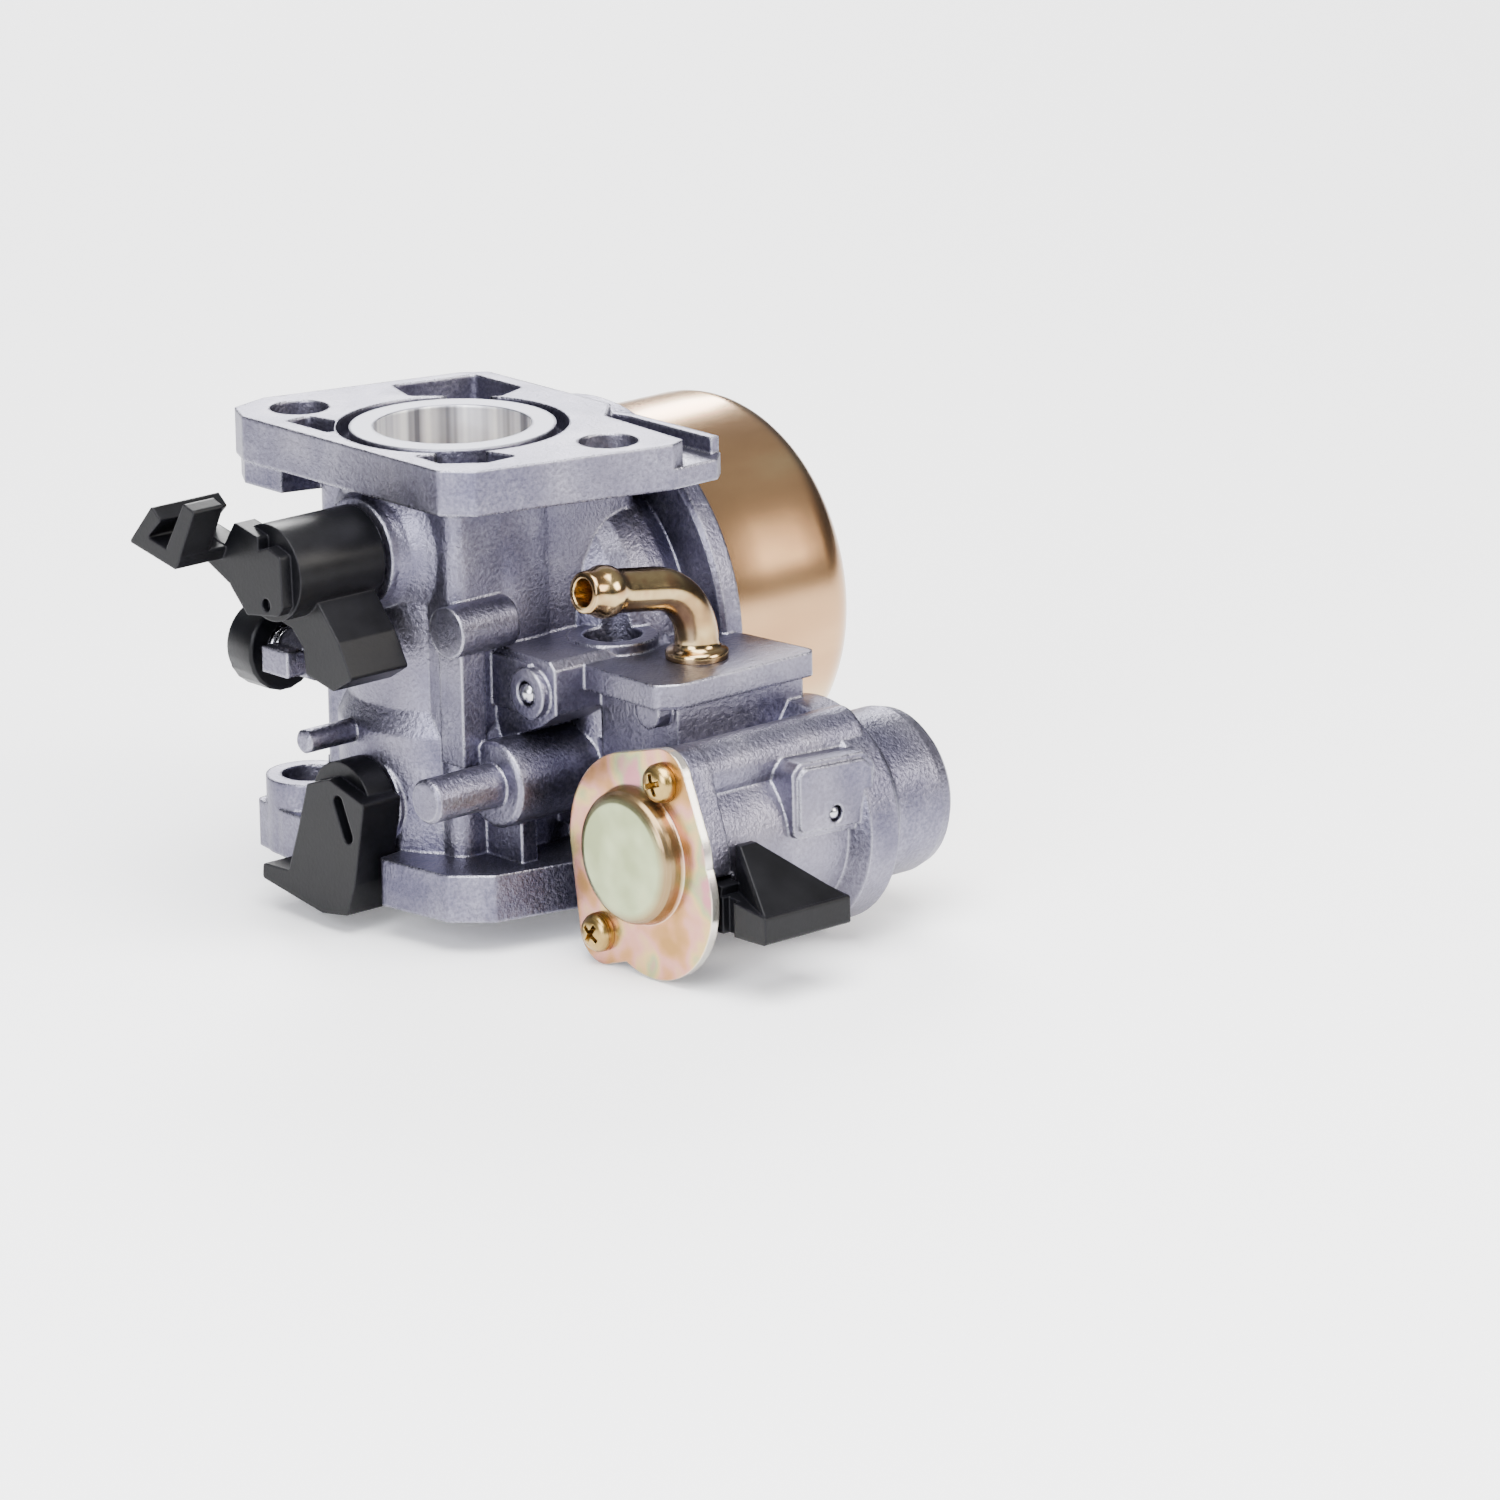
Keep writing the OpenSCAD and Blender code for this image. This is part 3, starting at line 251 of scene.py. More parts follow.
def rainbow_zinc_plate():
    """Pressed steel plate with a thick yellow passivation: pink and gold with green tints, a pale green
    dome with a painted dark copper reflection on its shoulder, and a bare steel edge."""
    material, tree, place = start("Iridescent passivated plate")
    soft, edge = rounded_edges(tree, 0.3)
    axis = (0, VALVE_Y * MM, VALVE_Z * MM)
    from_axis = add(tree, "VectorMath", {0: place, 1: axis}, operation="SUBTRACT")[0]
    x, y, z = add(tree, "SeparateXYZ", {"Vector": from_axis})
    outward = add(tree, "CombineXYZ", {"X": 0.0, "Y": y, "Z": z})[0]
    radius = add(tree, "VectorMath", {0: outward}, operation="LENGTH")["Value"]
    film = add(tree, "TexNoise", {"Vector": place, "Scale": per_mm(6), "Detail": 2, "Roughness": 0.5})[0]
    tints = [(0.34, "#a07844"), (0.43, "#b8865c"), (0.5, "#c48d80")]
    tints += [(0.57, "#c5a670"), (0.64, "#9ca374"), (0.72, "#b5787f")]
    flat = add(tree, "ValToRGB", {0: film}, tints)[0]
    dome = add(tree, "ValToRGB", {0: film}, [(0.35, "#8e9770"), (0.55, "#a5af88"), (0.75, "#b8bc90")])[0]
    limits = {"Value": radius, "From Min": 8.5 * MM, "From Max": 8.2 * MM, "To Min": 0.0, "To Max": 1.0}
    on_dome = add(tree, "MapRange", limits)["Result"]
    # painted dark copper reflection on the shoulder of the dome, a ring that deepens from 6.5 mm to 7.6 mm
    # out from the valve's axis and holds to the dome's edge
    limits = {"Value": radius, "From Min": 6.5 * MM, "From Max": 7.6 * MM, "To Min": 0.0, "To Max": 0.85}
    painted_shoulder_reflection = add(tree, "MapRange", limits)["Result"]
    dome = add(tree, "Mix", {0: painted_shoulder_reflection, 6: dome, 7: "#7f5f3f"}, data_type="RGBA")[2]
    colour = add(tree, "Mix", {0: on_dome, 6: flat, 7: dome}, data_type="RGBA")[2]
    # cut edge of the sheet, where the plating is thin
    side = add(tree, "Math", {0: x, 1: -5.42 * MM}, operation="GREATER_THAN")[0]
    bare = add(tree, "Math", {0: side, 1: 0.8}, operation="MULTIPLY")[0]
    colour = add(tree, "Mix", {0: bare, 6: colour, 7: "#dcdad4"}, data_type="RGBA")[2]
    # near-white edges: partly worn plating, partly a painted edge highlight
    edge_wear_and_highlight = add(tree, "Math", {0: edge, 1: 0.5}, operation="MULTIPLY")[0]
    colour = add(tree, "Mix", {0: edge_wear_and_highlight, 6: colour, 7: "#fbf3e4"}, data_type="RGBA")[2]
    scuff = add(tree, "TexNoise", {"Vector": place, "Scale": per_mm(0.6), "Detail": 3, "Roughness": 0.6})[0]
    rough = add(tree, "Math", {0: scuff, 1: 0.12, 2: 0.18}, operation="MULTIPLY_ADD")[0]
    shape = add(tree, "Bump", {"Height": scuff, "Strength": 0.12, "Distance": 0.03 * MM, "Normal": soft})[0]
    return finished(material, Base_Color=colour, Roughness=rough, Metallic=0.9, Normal=shape)


def passivated_tube():
    """Bent steel tube, yellow passivated: brown gold, copper where it was bent, and glossy."""
    material, tree, place = start("Yellow passivated tube")
    soft, edge = rounded_edges(tree, 0.25)
    film = add(tree, "TexNoise", {"Vector": place, "Scale": per_mm(6), "Detail": 3, "Roughness": 0.5})[0]
    tints = [(0.3, "#6f553c"), (0.48, "#967a55"), (0.6, "#b09a70"), (0.75, "#94664a")]
    colour = add(tree, "ValToRGB", {0: film}, tints)[0]
    # pale straw edges: partly worn plating, partly a painted edge highlight
    edge_wear_and_highlight = add(tree, "Math", {0: edge, 1: 0.4}, operation="MULTIPLY")[0]
    colour = add(tree, "Mix", {0: edge_wear_and_highlight, 6: colour, 7: "#f0dcae"}, data_type="RGBA")[2]
    scuff = add(tree, "TexNoise", {"Vector": place, "Scale": per_mm(0.5), "Detail": 2, "Roughness": 0.6})[0]
    rough = add(tree, "Math", {0: scuff, 1: 0.1, 2: 0.12}, operation="MULTIPLY_ADD")[0]
    shape = add(tree, "Bump", {"Height": scuff, "Strength": 0.1, "Distance": 0.02 * MM, "Normal": soft})[0]
    return finished(material, Base_Color=colour, Roughness=rough, Metallic=1.0, Normal=shape)


def turned_metal(name, dark, light, rough):
    """A turned metal part: two tones 3 mm apart, and turning lines along X, 0.25 mm apart."""
    material, tree, place = start(name)
    soft, edge = rounded_edges(tree, 0.2)
    tone = add(tree, "TexNoise", {"Vector": place, "Scale": per_mm(3), "Detail": 3, "Roughness": 0.5})[0]
    colour = add(tree, "ValToRGB", {0: tone}, [(0.3, dark), (0.7, light)])[0]
    x = add(tree, "SeparateXYZ", {"Vector": place})[0]
    across = add(tree, "CombineXYZ", {"X": x, "Y": 0.0, "Z": 0.0})[0]
    lines = add(tree, "TexNoise", {"Vector": across, "Scale": per_mm(0.25), "Detail": 2, "Roughness": 0.6})[0]
    sheen = add(tree, "Math", {0: lines, 1: 0.1, 2: rough - 0.05}, operation="MULTIPLY_ADD")[0]
    shape = add(tree, "Bump", {"Height": lines, "Strength": 0.15, "Distance": 0.02 * MM, "Normal": soft})[0]
    return finished(material, Base_Color=colour, Roughness=sheen, Metallic=1.0, Normal=shape)


def moulded_dull(name, dark, light, rough, grain=0.4):
    """Rubber or plastic: a dull skin with a fine moulded grain, its size in millimetres."""
    material, tree, place = start(name)
    soft, edge = rounded_edges(tree, 0.25)
    tone = add(tree, "TexNoise", {"Vector": place, "Scale": per_mm(4), "Detail": 2, "Roughness": 0.5})[0]
    skin = add(tree, "TexNoise", {"Vector": place, "Scale": per_mm(grain), "Detail": 3, "Roughness": 0.6})[0]
    colour = add(tree, "ValToRGB", {0: tone}, [(0.3, dark), (0.7, light)])[0]
    sheen = add(tree, "Math", {0: skin, 1: 0.12, 2: rough - 0.06}, operation="MULTIPLY_ADD")[0]
    shape = add(tree, "Bump", {"Height": skin, "Strength": 0.2, "Distance": 0.04 * MM, "Normal": soft})[0]
    return finished(material, Base_Color=colour, Roughness=sheen, IOR=1.5, Normal=shape)


FINISHES = {
    "casting": die_cast_aluminium,
    "nylon": moulded_nylon,
    "sheet": yellow_zinc_sheet,
    "plate": rainbow_zinc_plate,
    "tube": passivated_tube,
    "screw": lambda: turned_metal("Yellow zinc screw steel", "#8f7644", "#b99c62", 0.28),
    "steel": lambda: turned_metal("Ground steel", "#9a9aa0", "#c6c6ca", 0.24),
    "brass": lambda: turned_metal("Turned brass", "#b08a44", "#d9b766", 0.26),
    "copper": lambda: turned_metal("Soft copper washer", "#8a5236", "#b87a55", 0.38),
    "rubber": lambda: moulded_dull("Nitrile rubber", "#0d0d0f", "#18181b", 0.62),
    "acetal": lambda: moulded_dull("Moulded acetal float", "#b9b39c", "#cfc9b4", 0.45),
    "gauze": lambda: moulded_dull("Nylon gauze", "#3f5f7d", "#54779a", 0.5, 0.5),
}

FINISH_OF = {
    "casting": ("carburetor_body", "sediment_cup"),
    "nylon": ("throttle_lever", "choke_arm", "fuel_valve_lever", "idle_speed_screw"),
    "sheet": ("float_bowl",),
    "plate": ("valve_cover_plate",),
    "tube": ("fuel_elbow",),
    "screw": ("throttle_valve_screws", "choke_valve_screw", "bowl_bolt", "drain_screw", "valve_cover_screws"),
    "steel": (
        "throttle_shaft",
        "choke_shaft",
        "choke_valve",
        "float_hinge_pin",
        "inlet_needle",
        "idle_speed_spring",
        "mixture_screw_spring",
        "valve_wave_washer",
        "passage_balls",
    ),
    "brass": ("throttle_valve", "pilot_jet", "mixture_screw", "main_nozzle", "main_jet", "needle_seat"),
    "copper": ("bowl_bolt_washer", "drain_washer"),
    "rubber": (
        "throttle_shaft_seal",
        "pilot_jet_o_ring",
        "bowl_gasket",
        "valve_packing",
        "sediment_cup_o_ring",
    ),
    "acetal": ("float",),
    "gauze": ("fuel_strainer",),
}


# ---- modelling steps ----


def clear_selection():
    if bpy.context.object and bpy.context.object.mode != "OBJECT":
        bpy.ops.object.mode_set(mode="OBJECT")
    bpy.ops.object.select_all(action="DESELECT")


def lathe(stations, segments=64, closed=False):
    """A round piece drawn out along Z, station by station; each station is (distance, radius) in mm."""
    clear_selection()
    begin, wide = stations[0]
    bpy.ops.mesh.primitive_circle_add(
        vertices=segments, radius=wide * MM, fill_type="NOTHING", location=(0, 0, begin * MM)
    )
    bpy.ops.object.transform_apply(location=True, rotation=True, scale=True)
    bpy.ops.object.mode_set(mode="EDIT")
    bpy.ops.mesh.select_all(action="SELECT")
    if not closed:
        bpy.ops.mesh.edge_face_add()
        bpy.ops.mesh.select_all(action="SELECT")
    for (z0, r0), (z1, r1) in zip(stations, stations[1:]):
        if closed:
            bpy.ops.mesh.extrude_edges_move(TRANSFORM_OT_translate={"value": (0, 0, (z1 - z0) * MM)})
        else:
            bpy.ops.mesh.extrude_region_move(TRANSFORM_OT_translate={"value": (0, 0, (z1 - z0) * MM)})
        bpy.ops.transform.resize(value=(r1 / r0, r1 / r0, 1), center_override=(0, 0, z1 * MM))
    bpy.ops.mesh.select_all(action="SELECT")
    bpy.ops.mesh.remove_doubles(threshold=1e-6)
    bpy.ops.mesh.normals_make_consistent(inside=False)
    bpy.ops.object.mode_set(mode="OBJECT")
    return bpy.context.object


def put(piece, place=(0, 0, 0), turn=(0, 0, 0)):
    """Turns and moves a piece, then bakes that into its mesh; place in mm, turn in degrees."""
    clear_selection()
    piece.select_set(True)
    bpy.context.view_layer.objects.active = piece
    piece.rotation_euler = [math.radians(t) for t in turn]
    piece.location = Vector(place) * MM
    bpy.ops.object.transform_apply(location=True, rotation=True, scale=True)
    return piece


def apply_modifiers(piece):
    clear_selection()
    piece.select_set(True)
    bpy.context.view_layer.objects.active = piece
    for modifier in list(piece.modifiers):
        bpy.ops.object.modifier_apply(modifier=modifier.name)


def carve(piece, tool, operation="DIFFERENCE"):
    """Cuts one piece with another and removes the tool."""
    modifier = piece.modifiers.new("cut", "BOOLEAN")
    modifier.operation = operation
    modifier.solver = "EXACT"
    modifier.object = tool
    apply_modifiers(piece)
    bpy.data.objects.remove(tool)


def joined(pieces):
    """Several pieces made one."""
    clear_selection()
    for piece in pieces:
        piece.select_set(True)
    bpy.context.view_layer.objects.active = pieces[0]
    bpy.ops.object.join()
    return bpy.context.object


def finish_piece(piece, name, finish, body, nodes, smooth=35):
    """Names a piece, smooths it, gives it its finish and ties it to the frame."""
    clear_selection()
    piece.select_set(True)
    bpy.context.view_layer.objects.active = piece
    bpy.ops.object.shade_smooth_by_angle(angle=math.radians(smooth))
    piece.name = name
    piece.data.materials.clear()
    piece.data.materials.append(finish)
    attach(piece, body)
    if nodes:
        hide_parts(*nodes)
    return piece


MADE = {}


def finish_for(key):
    """The finish of that key, made on first use."""
    if key not in MADE:
        MADE[key] = FINISHES[key]()
    return MADE[key]


# ---- pieces ----


def round_wire_coil(radius, wire_r, height, turns):
    """A spring: the wire's circle, turned up a helix by the Screw modifier."""
    clear_selection()
    bpy.ops.mesh.primitive_circle_add(
        vertices=10,
        radius=wire_r * MM,
        fill_type="NOTHING",
        location=(radius * MM, 0, wire_r * MM),
        rotation=(math.pi / 2, 0, 0),
    )
    piece = bpy.context.object
    bpy.ops.object.transform_apply(location=True, rotation=True, scale=True)
    modifier = piece.modifiers.new("helix", "SCREW")
    modifier.axis = "Z"
    modifier.steps = modifier.render_steps = 28
    modifier.screw_offset = (height - 2 * wire_r) / turns * MM
    modifier.iterations = turns
    modifier.use_merge_vertices = True
    apply_modifiers(piece)
    bpy.ops.object.mode_set(mode="EDIT")
    bpy.ops.mesh.select_all(action="SELECT")
    bpy.ops.mesh.fill_holes(sides=0)
    bpy.ops.mesh.normals_make_consistent(inside=False)
    bpy.ops.object.mode_set(mode="OBJECT")
    return piece


def cross_cutter(size, depth, top):
    """A tapered cross for a screw's recess, its top at height top."""
    bars = []
    for turn in (0, 90):
        clear_selection()
        bpy.ops.mesh.primitive_cube_add(size=1, location=(0, 0, (top - depth / 2 + 0.1) * MM))
        bar = bpy.context.object
        bar.scale = (size * MM, size * 0.24 * MM, (depth + 0.2) * MM)
        bpy.ops.object.transform_apply(location=True, rotation=False, scale=True)
        bpy.ops.object.mode_set(mode="EDIT")
        mesh = bmesh.from_edit_mesh(bar.data)
        for vertex in mesh.verts:
            vertex.select_set(vertex.co.z < (top - depth / 2) * MM)
        mesh.select_flush_mode()
        bmesh.update_edit_mesh(bar.data)
        bpy.ops.transform.resize(value=(0.55, 0.6, 1), center_override=(0, 0, (top - depth) * MM))
        bpy.ops.object.mode_set(mode="OBJECT")
        bars.append(put(bar, turn=(0, 0, turn)))
    carve(bars[0], bars[1], "UNION")
    return bars[0]


def pan_screw(head_r, head_h, shank_r, length, thread=0.5):
    """A pan-head machine screw along Z, head up, with rolled thread ridges and a cross recess."""
    ridges = [(0, shank_r * 0.75), (0.3, shank_r * 0.9)]
    z = 0.3
    while z + thread < length - 0.6:
        ridges += [(z + thread * 0.5, shank_r), (z + thread, shank_r * 0.86)]
        z += thread
    stations = ridges + [
        (length - 0.3, shank_r),
        (length, shank_r),
        (length, head_r * 0.98),
        (length + head_h * 0.15, head_r),
        (length + head_h * 0.5, head_r * 0.97),
        (length + head_h * 0.78, head_r * 0.84),
        (length + head_h * 0.94, head_r * 0.6),
        (length + head_h, head_r * 0.3),
    ]
    piece = lathe(stations, 40)
    carve(piece, cross_cutter(head_r * 1.25, head_h * 0.75, length + head_h))
    return piece


# turns that lay a piece drawn along Z down along X or Y, in degrees
ALONG_X = (0, 90, 0)
ALONG_Y = (-90, 0, 0)


class CarbSizes(bpy.types.PropertyGroup):
    """Sizes that a user may change."""

    knob_ribs: bpy.props.IntProperty(
        name="Knob ribs", description="Grip ribs round the idle speed knob", default=20, min=8, max=36
    )
    spring_wire: bpy.props.FloatProperty(
        name="Spring wire",
        description="Radius of the idle spring's wire",
        default=0.28 * MM,
        subtype="DISTANCE",
        unit="LENGTH",
    )
    head_radius: bpy.props.FloatProperty(
        name="Cover screw head",
        description="Radius of the heads of the valve cover screws",
        default=2.4 * MM,
        subtype="DISTANCE",
        unit="LENGTH",
    )


class CarbLight(bpy.types.PropertyGroup):
    """Studio values that a user may change."""

    key_power: bpy.props.FloatProperty(
        name="Key light", description="Power of the large overhead softbox", default=24.0, subtype="POWER"
    )
    floor_tone: bpy.props.FloatVectorProperty(
        name="Floor",
        description="Colour of the floor",
        default=linear("#f4f4f5")[:3],
        subtype="COLOR",
        size=3,
    )


class CARB_OT_finishes(bpy.types.Operator):
    """Gives every CAD part its finish"""

    bl_idname = "carb.finishes"
    bl_label = "Finish the parts"

    def execute(self, context):
        for key, names in FINISH_OF.items():
            for name in names:
                mesh = frame["nodes"][name].data
                mesh.materials.clear()
                mesh.materials.append(finish_for(key))
        return {"FINISHED"}


class CARB_OT_springs(bpy.types.Operator):
    """Winds the springs of the idle speed screw and the mixture screw"""

    bl_idname = "carb.springs"
    bl_label = "Springs"

    def execute(self, context):
        wire_r = context.scene.carb_sizes.spring_wire / MM
        steel = finish_for("steel")
        idle = put(round_wire_coil(2.2, wire_r, 5.2, 5), (IDLE_X, 5.05, IDLE_Z), ALONG_Y)
        finish_piece(idle, "idle_spring_coil", steel, "casting", ["idle_speed_spring"])
        mixture = put(round_wire_coil(2.2, wire_r, 2.4, 3), (MIXTURE_X, 19.1, MIXTURE_Z), ALONG_Y)
        finish_piece(
            mixture, "mixture_spring_coil", steel, "casting", ["mixture_screw_spring"]
        )
        return {"FINISHED"}


class CARB_OT_idle_knob(bpy.types.Operator):
    """Moulds the finely ribbed knob of the idle speed screw on its steel screw"""

    bl_idname = "carb.idle_knob"
    bl_label = "Idle speed knob"

    def execute(self, context):
        ribs = context.scene.carb_sizes.knob_ribs
        stations = [(10.4, 1.7), (10.4, 2.8), (6.8, 2.8), (6.8, 5.1), (7.1, 5.4)]
        stations += [(11.2, 5.4), (11.8, 5.0), (12, 4.5), (12, 0.05)]
        knob = lathe(stations, ribs * 2)
        # every second line of the rim is drawn in, which leaves the ribs
        bpy.ops.object.mode_set(mode="EDIT")
        mesh = bmesh.from_edit_mesh(knob.data)
        for vertex in mesh.verts:
            line = round(math.atan2(vertex.co.y, vertex.co.x) / (math.pi / ribs))
            vertex.select_set(line % 2 == 0 and vertex.co.xy.length > 5.2 * MM)
        mesh.select_flush_mode()
        bmesh.update_edit_mesh(knob.data)
        bpy.ops.transform.resize(value=(0.985, 0.985, 1), center_override=(0, 0, 9 * MM))
        bpy.ops.object.mode_set(mode="OBJECT")
        clear_selection()
        bpy.ops.mesh.primitive_cube_add(size=1, location=(0, 0, 12 * MM))
        slot = bpy.context.object
        slot.scale = (5.4 * MM, 0.9 * MM, 1.6 * MM)
        bpy.ops.object.transform_apply(location=True, rotation=False, scale=True)
        carve(knob, slot)
        put(knob, (IDLE_X, 0, IDLE_Z), ALONG_Y)
        nylon = finish_for("nylon")
        finish_piece(knob, "idle_knob", nylon, "idle_screw", ["idle_speed_screw"])
        tip, thread, pitch = -1.2, [(-1.8, 0.9), (-1.2, 1.35)], 0.5
        while tip < 10:
            thread += [(tip + pitch / 2, 1.6), (tip + pitch, 1.4)]
            tip += pitch
        shank = put(lathe(thread, 32), (IDLE_X, 0, IDLE_Z), ALONG_Y)
        finish_piece(shank, "idle_screw_shank", finish_for("steel"), "idle_screw", [])
        return {"FINISHED"}


class CARB_OT_cover_screws(bpy.types.Operator):
    """Turns the two pan-head screws of the valve cover"""

    bl_idname = "carb.cover_screws"
    bl_label = "Valve cover screws"

    def execute(self, context):
        head_r = context.scene.carb_sizes.head_radius / MM
        screws = []
        # place of each screw from the valve's axis, and how far its recess is turned
        for dy, dz, spin in ((-4.9, 9.9, 20), (6.9, -10.9, 55)):
            screw = put(pan_screw(head_r, 1.85, 1.38, 11.7), turn=(0, 0, spin))
            screws.append(put(screw, (6.18, VALVE_Y + dy, VALVE_Z + dz), (0, -90, 0)))
        pair = joined(screws)
        screw_steel = finish_for("screw")
        finish_piece(
            pair, "cover_screw_pair", screw_steel, "casting", ["valve_cover_screws"]
        )
        return {"FINISHED"}


class CARB_OT_bowl(bpy.types.Operator):
    """Draws the float bowl with its rolled lip, draw step and pressed seat for the bolt"""

    bl_idname = "carb.bowl"
    bl_label = "Float bowl"

    def execute(self, context):
        def corner(radius, angles):
            """Stations round the bottom corner, whose centre is fixed."""
            turns = [math.radians(angle) for angle in angles]
            return [(39.4 + radius * math.sin(turn), 17.95 + radius * math.cos(turn)) for turn in turns]

        lip = [(22.52, 23.9), (22.7, 24.15), (23.0, 24.2), (23.3, 24.1), (23.5, 23.75), (23.62, 23.38)]
        outside = [(24.2, 23.3), (30, 23.28), (36, 23.25), *corner(5.3, range(0, 91, 9))]
        seat = [(44.7, 12.6), (44.62, 11.9), (44.45, 11.3), (44.45, 8.2), (44.62, 7.7), (44.7, 7.2)]
        hole = [(44.7, 3.1), (43.8, 3.1)]
        inside = [(43.8, 17.9), *corner(4.4, range(81, -1, -9)), (30, 22.38), (22.9, 22.4)]
        profile = [*lip, *outside, *seat, *hole, *inside, (22.52, 22.6), lip[0]]
        bowl = put(lathe(profile, 128, closed=True), (0, 0, BOWL_Z), ALONG_X)
        # boss of the drain screw, and its hole through the bottom
        drain = (0, 10, BOWL_Z + 6.5)
        clear_selection()
        bpy.ops.mesh.primitive_cylinder_add(
            vertices=48,
            radius=2.52 * MM,
            depth=4 * MM,
            location=(44 * MM, drain[1] * MM, drain[2] * MM),
            rotation=(0, math.pi / 2, 0),
        )
        drill = bpy.context.object
        bpy.ops.object.transform_apply(location=True, rotation=True, scale=True)
        tube = [(42.2, 2.6), (42.2, 4), (44.3, 4), (44.3, 2.6), (42.2, 2.6)]
        boss = put(lathe(tube, 48, closed=True), drain, ALONG_X)
        carve(bowl, drill)
        whole = joined([bowl, boss])
        finish_piece(whole, "drawn_bowl", finish_for("sheet"), "casting", ["float_bowl"])
        return {"FINISHED"}


class CARB_OT_elbow(bpy.types.Operator):
    """Bends the inlet elbow, with its brazed collar and the rolled bead of its nipple"""

    bl_idname = "carb.elbow"
    bl_label = "Fuel elbow"

    def execute(self, context):
        # the tube starts below the shelf, rises, bends towards the lever side and ends in the nipple
        foot, bend_r, bend_z, bend = 26.2, 7.5, 32.2, math.radians(81.7)
        tube_r, bore_r = 2.65, 1.6
        rise = bend_z - foot
        run = rise + bend * bend_r

        def centre(distance):
            """Centre of the tube and its turn, at a distance along it from the foot."""
            if distance <= rise:
                return Vector((0, 0, foot + distance)), 0.0
            turn = min((distance - rise) / bend_r, bend)
            past = max(distance - run, 0)
            x = bend_r * (math.cos(turn) - 1) - past * math.sin(turn)
            return Vector((x, 0, bend_z + bend_r * math.sin(turn) + past * math.cos(turn))), turn

        steps = [(rise + bend * bend_r * i / 12, i / 12) for i in range(13)]
        collar = [(3.8, 2.65), (3.82, 3.75), (4.3, 3.8), (4.75, 3.75), (5.0, 3.45), (5.1, 3.0), (5.5, 2.72)]
        # the tube draws thinner in the middle of the bend
        curve = [(distance, tube_r - 0.08 * math.sin(math.pi * part)) for distance, part in steps]
        bead = [(5.65, 2.65), (6.25, 2.72), (6.85, 3.0), (7.35, 3.17), (7.95, 3.2), (8.55, 3.15)]
        bead += [(9.05, 2.95), (9.65, 2.72), (10.45, 2.6), (10.95, 2.5), (11.1, 2.3), (11.1, 1.75)]
        bead += [(10.85, 1.62), (0, bore_r)]
        nipple = [(run + past, radius) for past, radius in bead]
        bore = [(distance, bore_r) for distance, part in reversed(steps[:-1])]
        stations = [(0, tube_r), *collar, *curve, *nipple, *bore, (0, bore_r), (0, tube_r)]
        clear_selection()
        bpy.ops.mesh.primitive_circle_add(
            vertices=48, radius=tube_r * MM, fill_type="NOTHING", location=(0, 0, foot * MM)
        )
        tube = bpy.context.object
        bpy.ops.object.transform_apply(location=True, rotation=True, scale=True)
        bpy.ops.object.mode_set(mode="EDIT")
        bpy.ops.mesh.select_all(action="SELECT")
        path = [(*centre(distance), radius) for distance, radius in stations]
        for (c0, a0, r0), (c1, a1, r1) in zip(path, path[1:]):
            bpy.ops.mesh.extrude_edges_move(TRANSFORM_OT_translate={"value": tuple((c1 - c0) * MM)})
            pivot = tuple(c1 * MM)
            if abs(r1 - r0) > 1e-6:
                bpy.ops.transform.resize(value=(r1 / r0,) * 3, center_override=pivot)
            if abs(a1 - a0) > 1e-6:
                # with no window this operator turns the other way round its axis
                bpy.ops.transform.rotate(value=a1 - a0, orient_axis="Y", center_override=pivot)
        bpy.ops.mesh.select_all(action="SELECT")
        bpy.ops.mesh.remove_doubles(threshold=1e-6)
        bpy.ops.mesh.normals_make_consistent(inside=False)
        bpy.ops.object.mode_set(mode="OBJECT")
        put(tube, (11.3, -30.8, 0))
        passivated = finish_for("tube")
        finish_piece(tube, "bent_elbow", passivated, "casting", ["fuel_elbow"], 50)
        return {"FINISHED"}


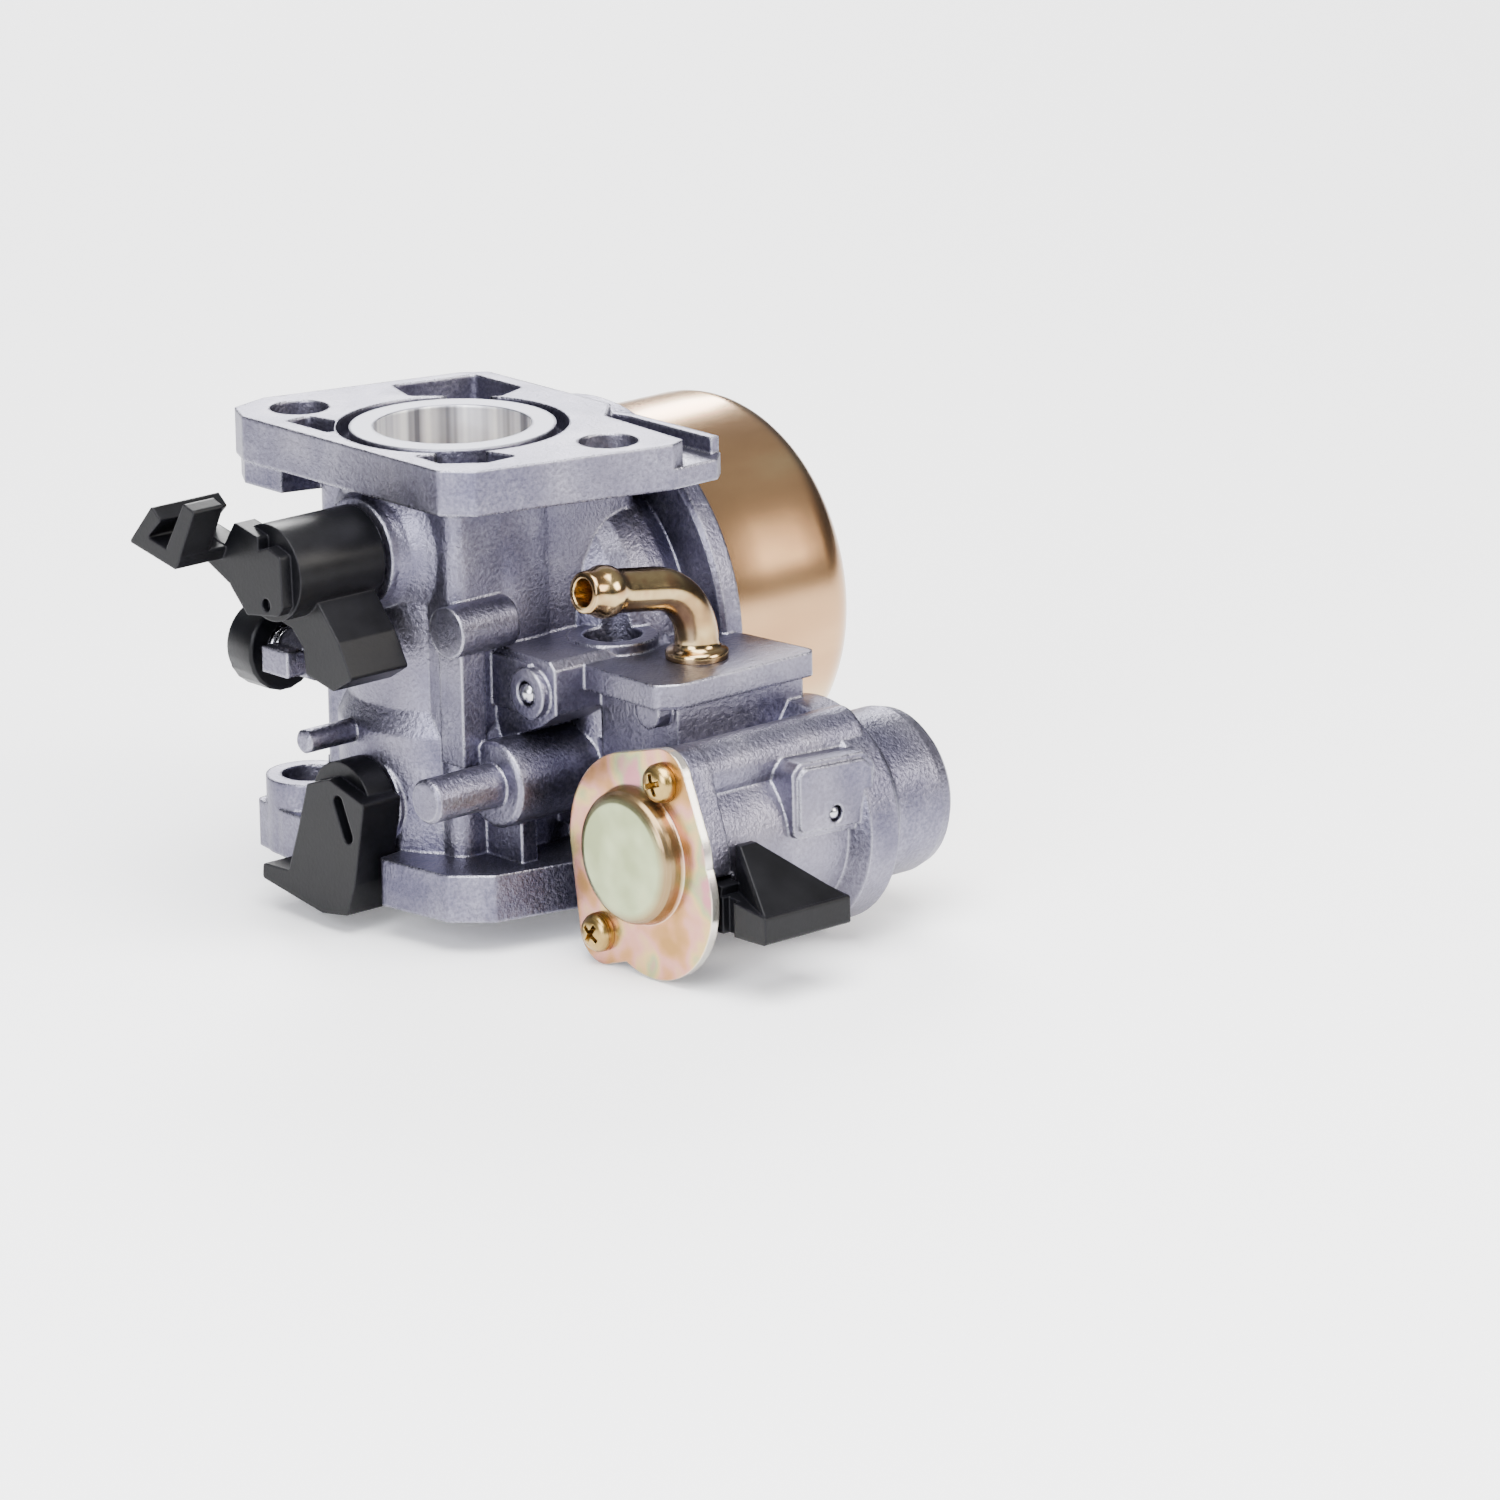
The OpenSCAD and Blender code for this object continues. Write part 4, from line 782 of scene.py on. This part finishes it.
class CARB_OT_stage(bpy.types.Operator):
    """Sets the floor, the room, the soft lights and the camera"""

    bl_idname = "carb.stage"
    bl_label = "Stage"

    def execute(self, context):
        light = context.scene.carb_light
        self.floor(light)
        self.room(context)
        self.lamps(context, light)
        self.camera(context)
        return {"FINISHED"}

    def floor(self, light):
        """A matt white sweep, lit a little from below."""
        clear_selection()
        bpy.ops.mesh.primitive_plane_add(size=6, location=(0, 0, CAD_BOX[0][2] - 0.05 * MM))
        floor = bpy.context.object
        floor.name = "floor"
        material, tree, place = start("Matt white sweep")
        # clouds of 400 mm keep the sweep from looking like a flat fill
        pattern = {"Vector": place, "Scale": per_mm(400), "Detail": 2, "Roughness": 0.5}
        tone = add(tree, "TexNoise", pattern)[0]
        cloud = add(tree, "ValToRGB", {0: tone}, [(0.3, 0.0), (0.7, 0.1)])[0]
        base = [*light.floor_tone, 1.0]
        colour = add(tree, "Mix", {0: cloud, 6: base, 7: "#ffffff"}, data_type="RGBA")[2]
        white = linear("#ffffff")
        finished(material, Base_Color=colour, Roughness=0.75, Emission_Color=white, Emission_Strength=0.2)
        floor.data.materials.append(material)

    def room(self, context):
        """A white ceiling over darker walls, so that metal shows light above and dark at its sides."""
        world = bpy.data.worlds.new("Studio air")
        world.use_nodes = True
        tree = world.node_tree
        heading = add(tree, "TexCoord")["Generated"]
        height = add(tree, "SeparateXYZ", {"Vector": heading})["Z"]
        tones = add(tree, "ValToRGB", {0: height}, [(0.0, "#5c5e68"), (0.3, "#9497a3"), (0.6, "#ffffff")])[0]
        plug(tree, tree.nodes["Background"], {"Color": tones, "Strength": 0.5})
        context.scene.world = world

    def lamps(self, context, light):
        """Four square softboxes; each place is in metres from the middle of the object."""
        middle = Vector((8 * MM, -14 * MM, 26 * MM))
        lamps = (
            ("overhead_softbox", (-0.15, -0.25, 0.75), 0.7, light.key_power, "#ffffff"),
            ("left_softbox", (-0.8, -0.35, 0.35), 0.5, light.key_power * 0.5, "#f6f8ff"),
            ("right_softbox", (0.45, -0.85, 0.45), 0.45, light.key_power * 0.45, "#fffaf2"),
            ("back_strip", (0.5, 0.7, 0.5), 0.4, light.key_power * 0.5, "#ffffff"),
        )
        for name, place, size, power, tint in lamps:
            lamp = bpy.data.lights.new(name, "AREA")
            lamp.shape = "SQUARE"
            lamp.size = size
            lamp.energy = power
            lamp.color = linear(tint)[:3]
            held = bpy.data.objects.new(name, lamp)
            held.location = middle + Vector(place)
            held.rotation_euler = (-Vector(place)).to_track_quat("-Z", "Y").to_euler()
            context.collection.objects.link(held)

    def camera(self, context):
        """A long lens from the left front, a little above the object."""
        azimuth, height, roll = -0.712802, 0.281907, -0.0188236
        level = math.cos(height)
        back = Vector((math.sin(azimuth) * level, -math.cos(azimuth) * level, math.sin(height)))
        right = Vector((math.cos(azimuth), math.sin(azimuth), 0))
        up = back.cross(right)
        across = right * math.cos(roll) + up * math.sin(roll)
        upward = up * math.cos(roll) - right * math.sin(roll)
        camera = bpy.data.cameras.new("camera")
        camera.sensor_width = 36
        camera.lens = 232.59
        camera.clip_start = 0.05
        camera.clip_end = 20
        held = bpy.data.objects.new("camera", camera)
        turned = Matrix((across, upward, back)).transposed().to_4x4()
        held.matrix_world = Matrix.Translation((-0.707695, -0.871869, 0.338848)) @ turned
        context.collection.objects.link(held)
        context.scene.camera = held


class CARB_PT_panel(bpy.types.Panel):
    """Lists the steps that finish the carburetor"""

    bl_idname = "CARB_PT_panel"
    bl_label = "Carburetor"
    bl_space_type = "VIEW_3D"
    bl_region_type = "UI"
    bl_category = "Carburetor"

    def draw(self, context):
        for group in (context.scene.carb_sizes, context.scene.carb_light):
            for name in group.__annotations__:
                self.layout.prop(group, name)
        for step in STEPS:
            self.layout.operator(step.bl_idname)


GROUPS = (CarbSizes, CarbLight)
STEPS = (
    CARB_OT_finishes,
    CARB_OT_springs,
    CARB_OT_idle_knob,
    CARB_OT_cover_screws,
    CARB_OT_bowl,
    CARB_OT_elbow,
    CARB_OT_stage,
)


def register():
    for kind in (*GROUPS, *STEPS, CARB_PT_panel):
        bpy.utils.register_class(kind)
    bpy.types.Scene.carb_sizes = bpy.props.PointerProperty(type=CarbSizes)
    bpy.types.Scene.carb_light = bpy.props.PointerProperty(type=CarbLight)


def unregister():
    del bpy.types.Scene.carb_sizes
    del bpy.types.Scene.carb_light
    for kind in (CARB_PT_panel, *reversed(STEPS), *reversed(GROUPS)):
        bpy.utils.unregister_class(kind)


def main():
    register()
    for step in STEPS:
        group, name = step.bl_idname.split(".")
        getattr(getattr(bpy.ops, group), name)()


if __name__ == "__main__":
    main()
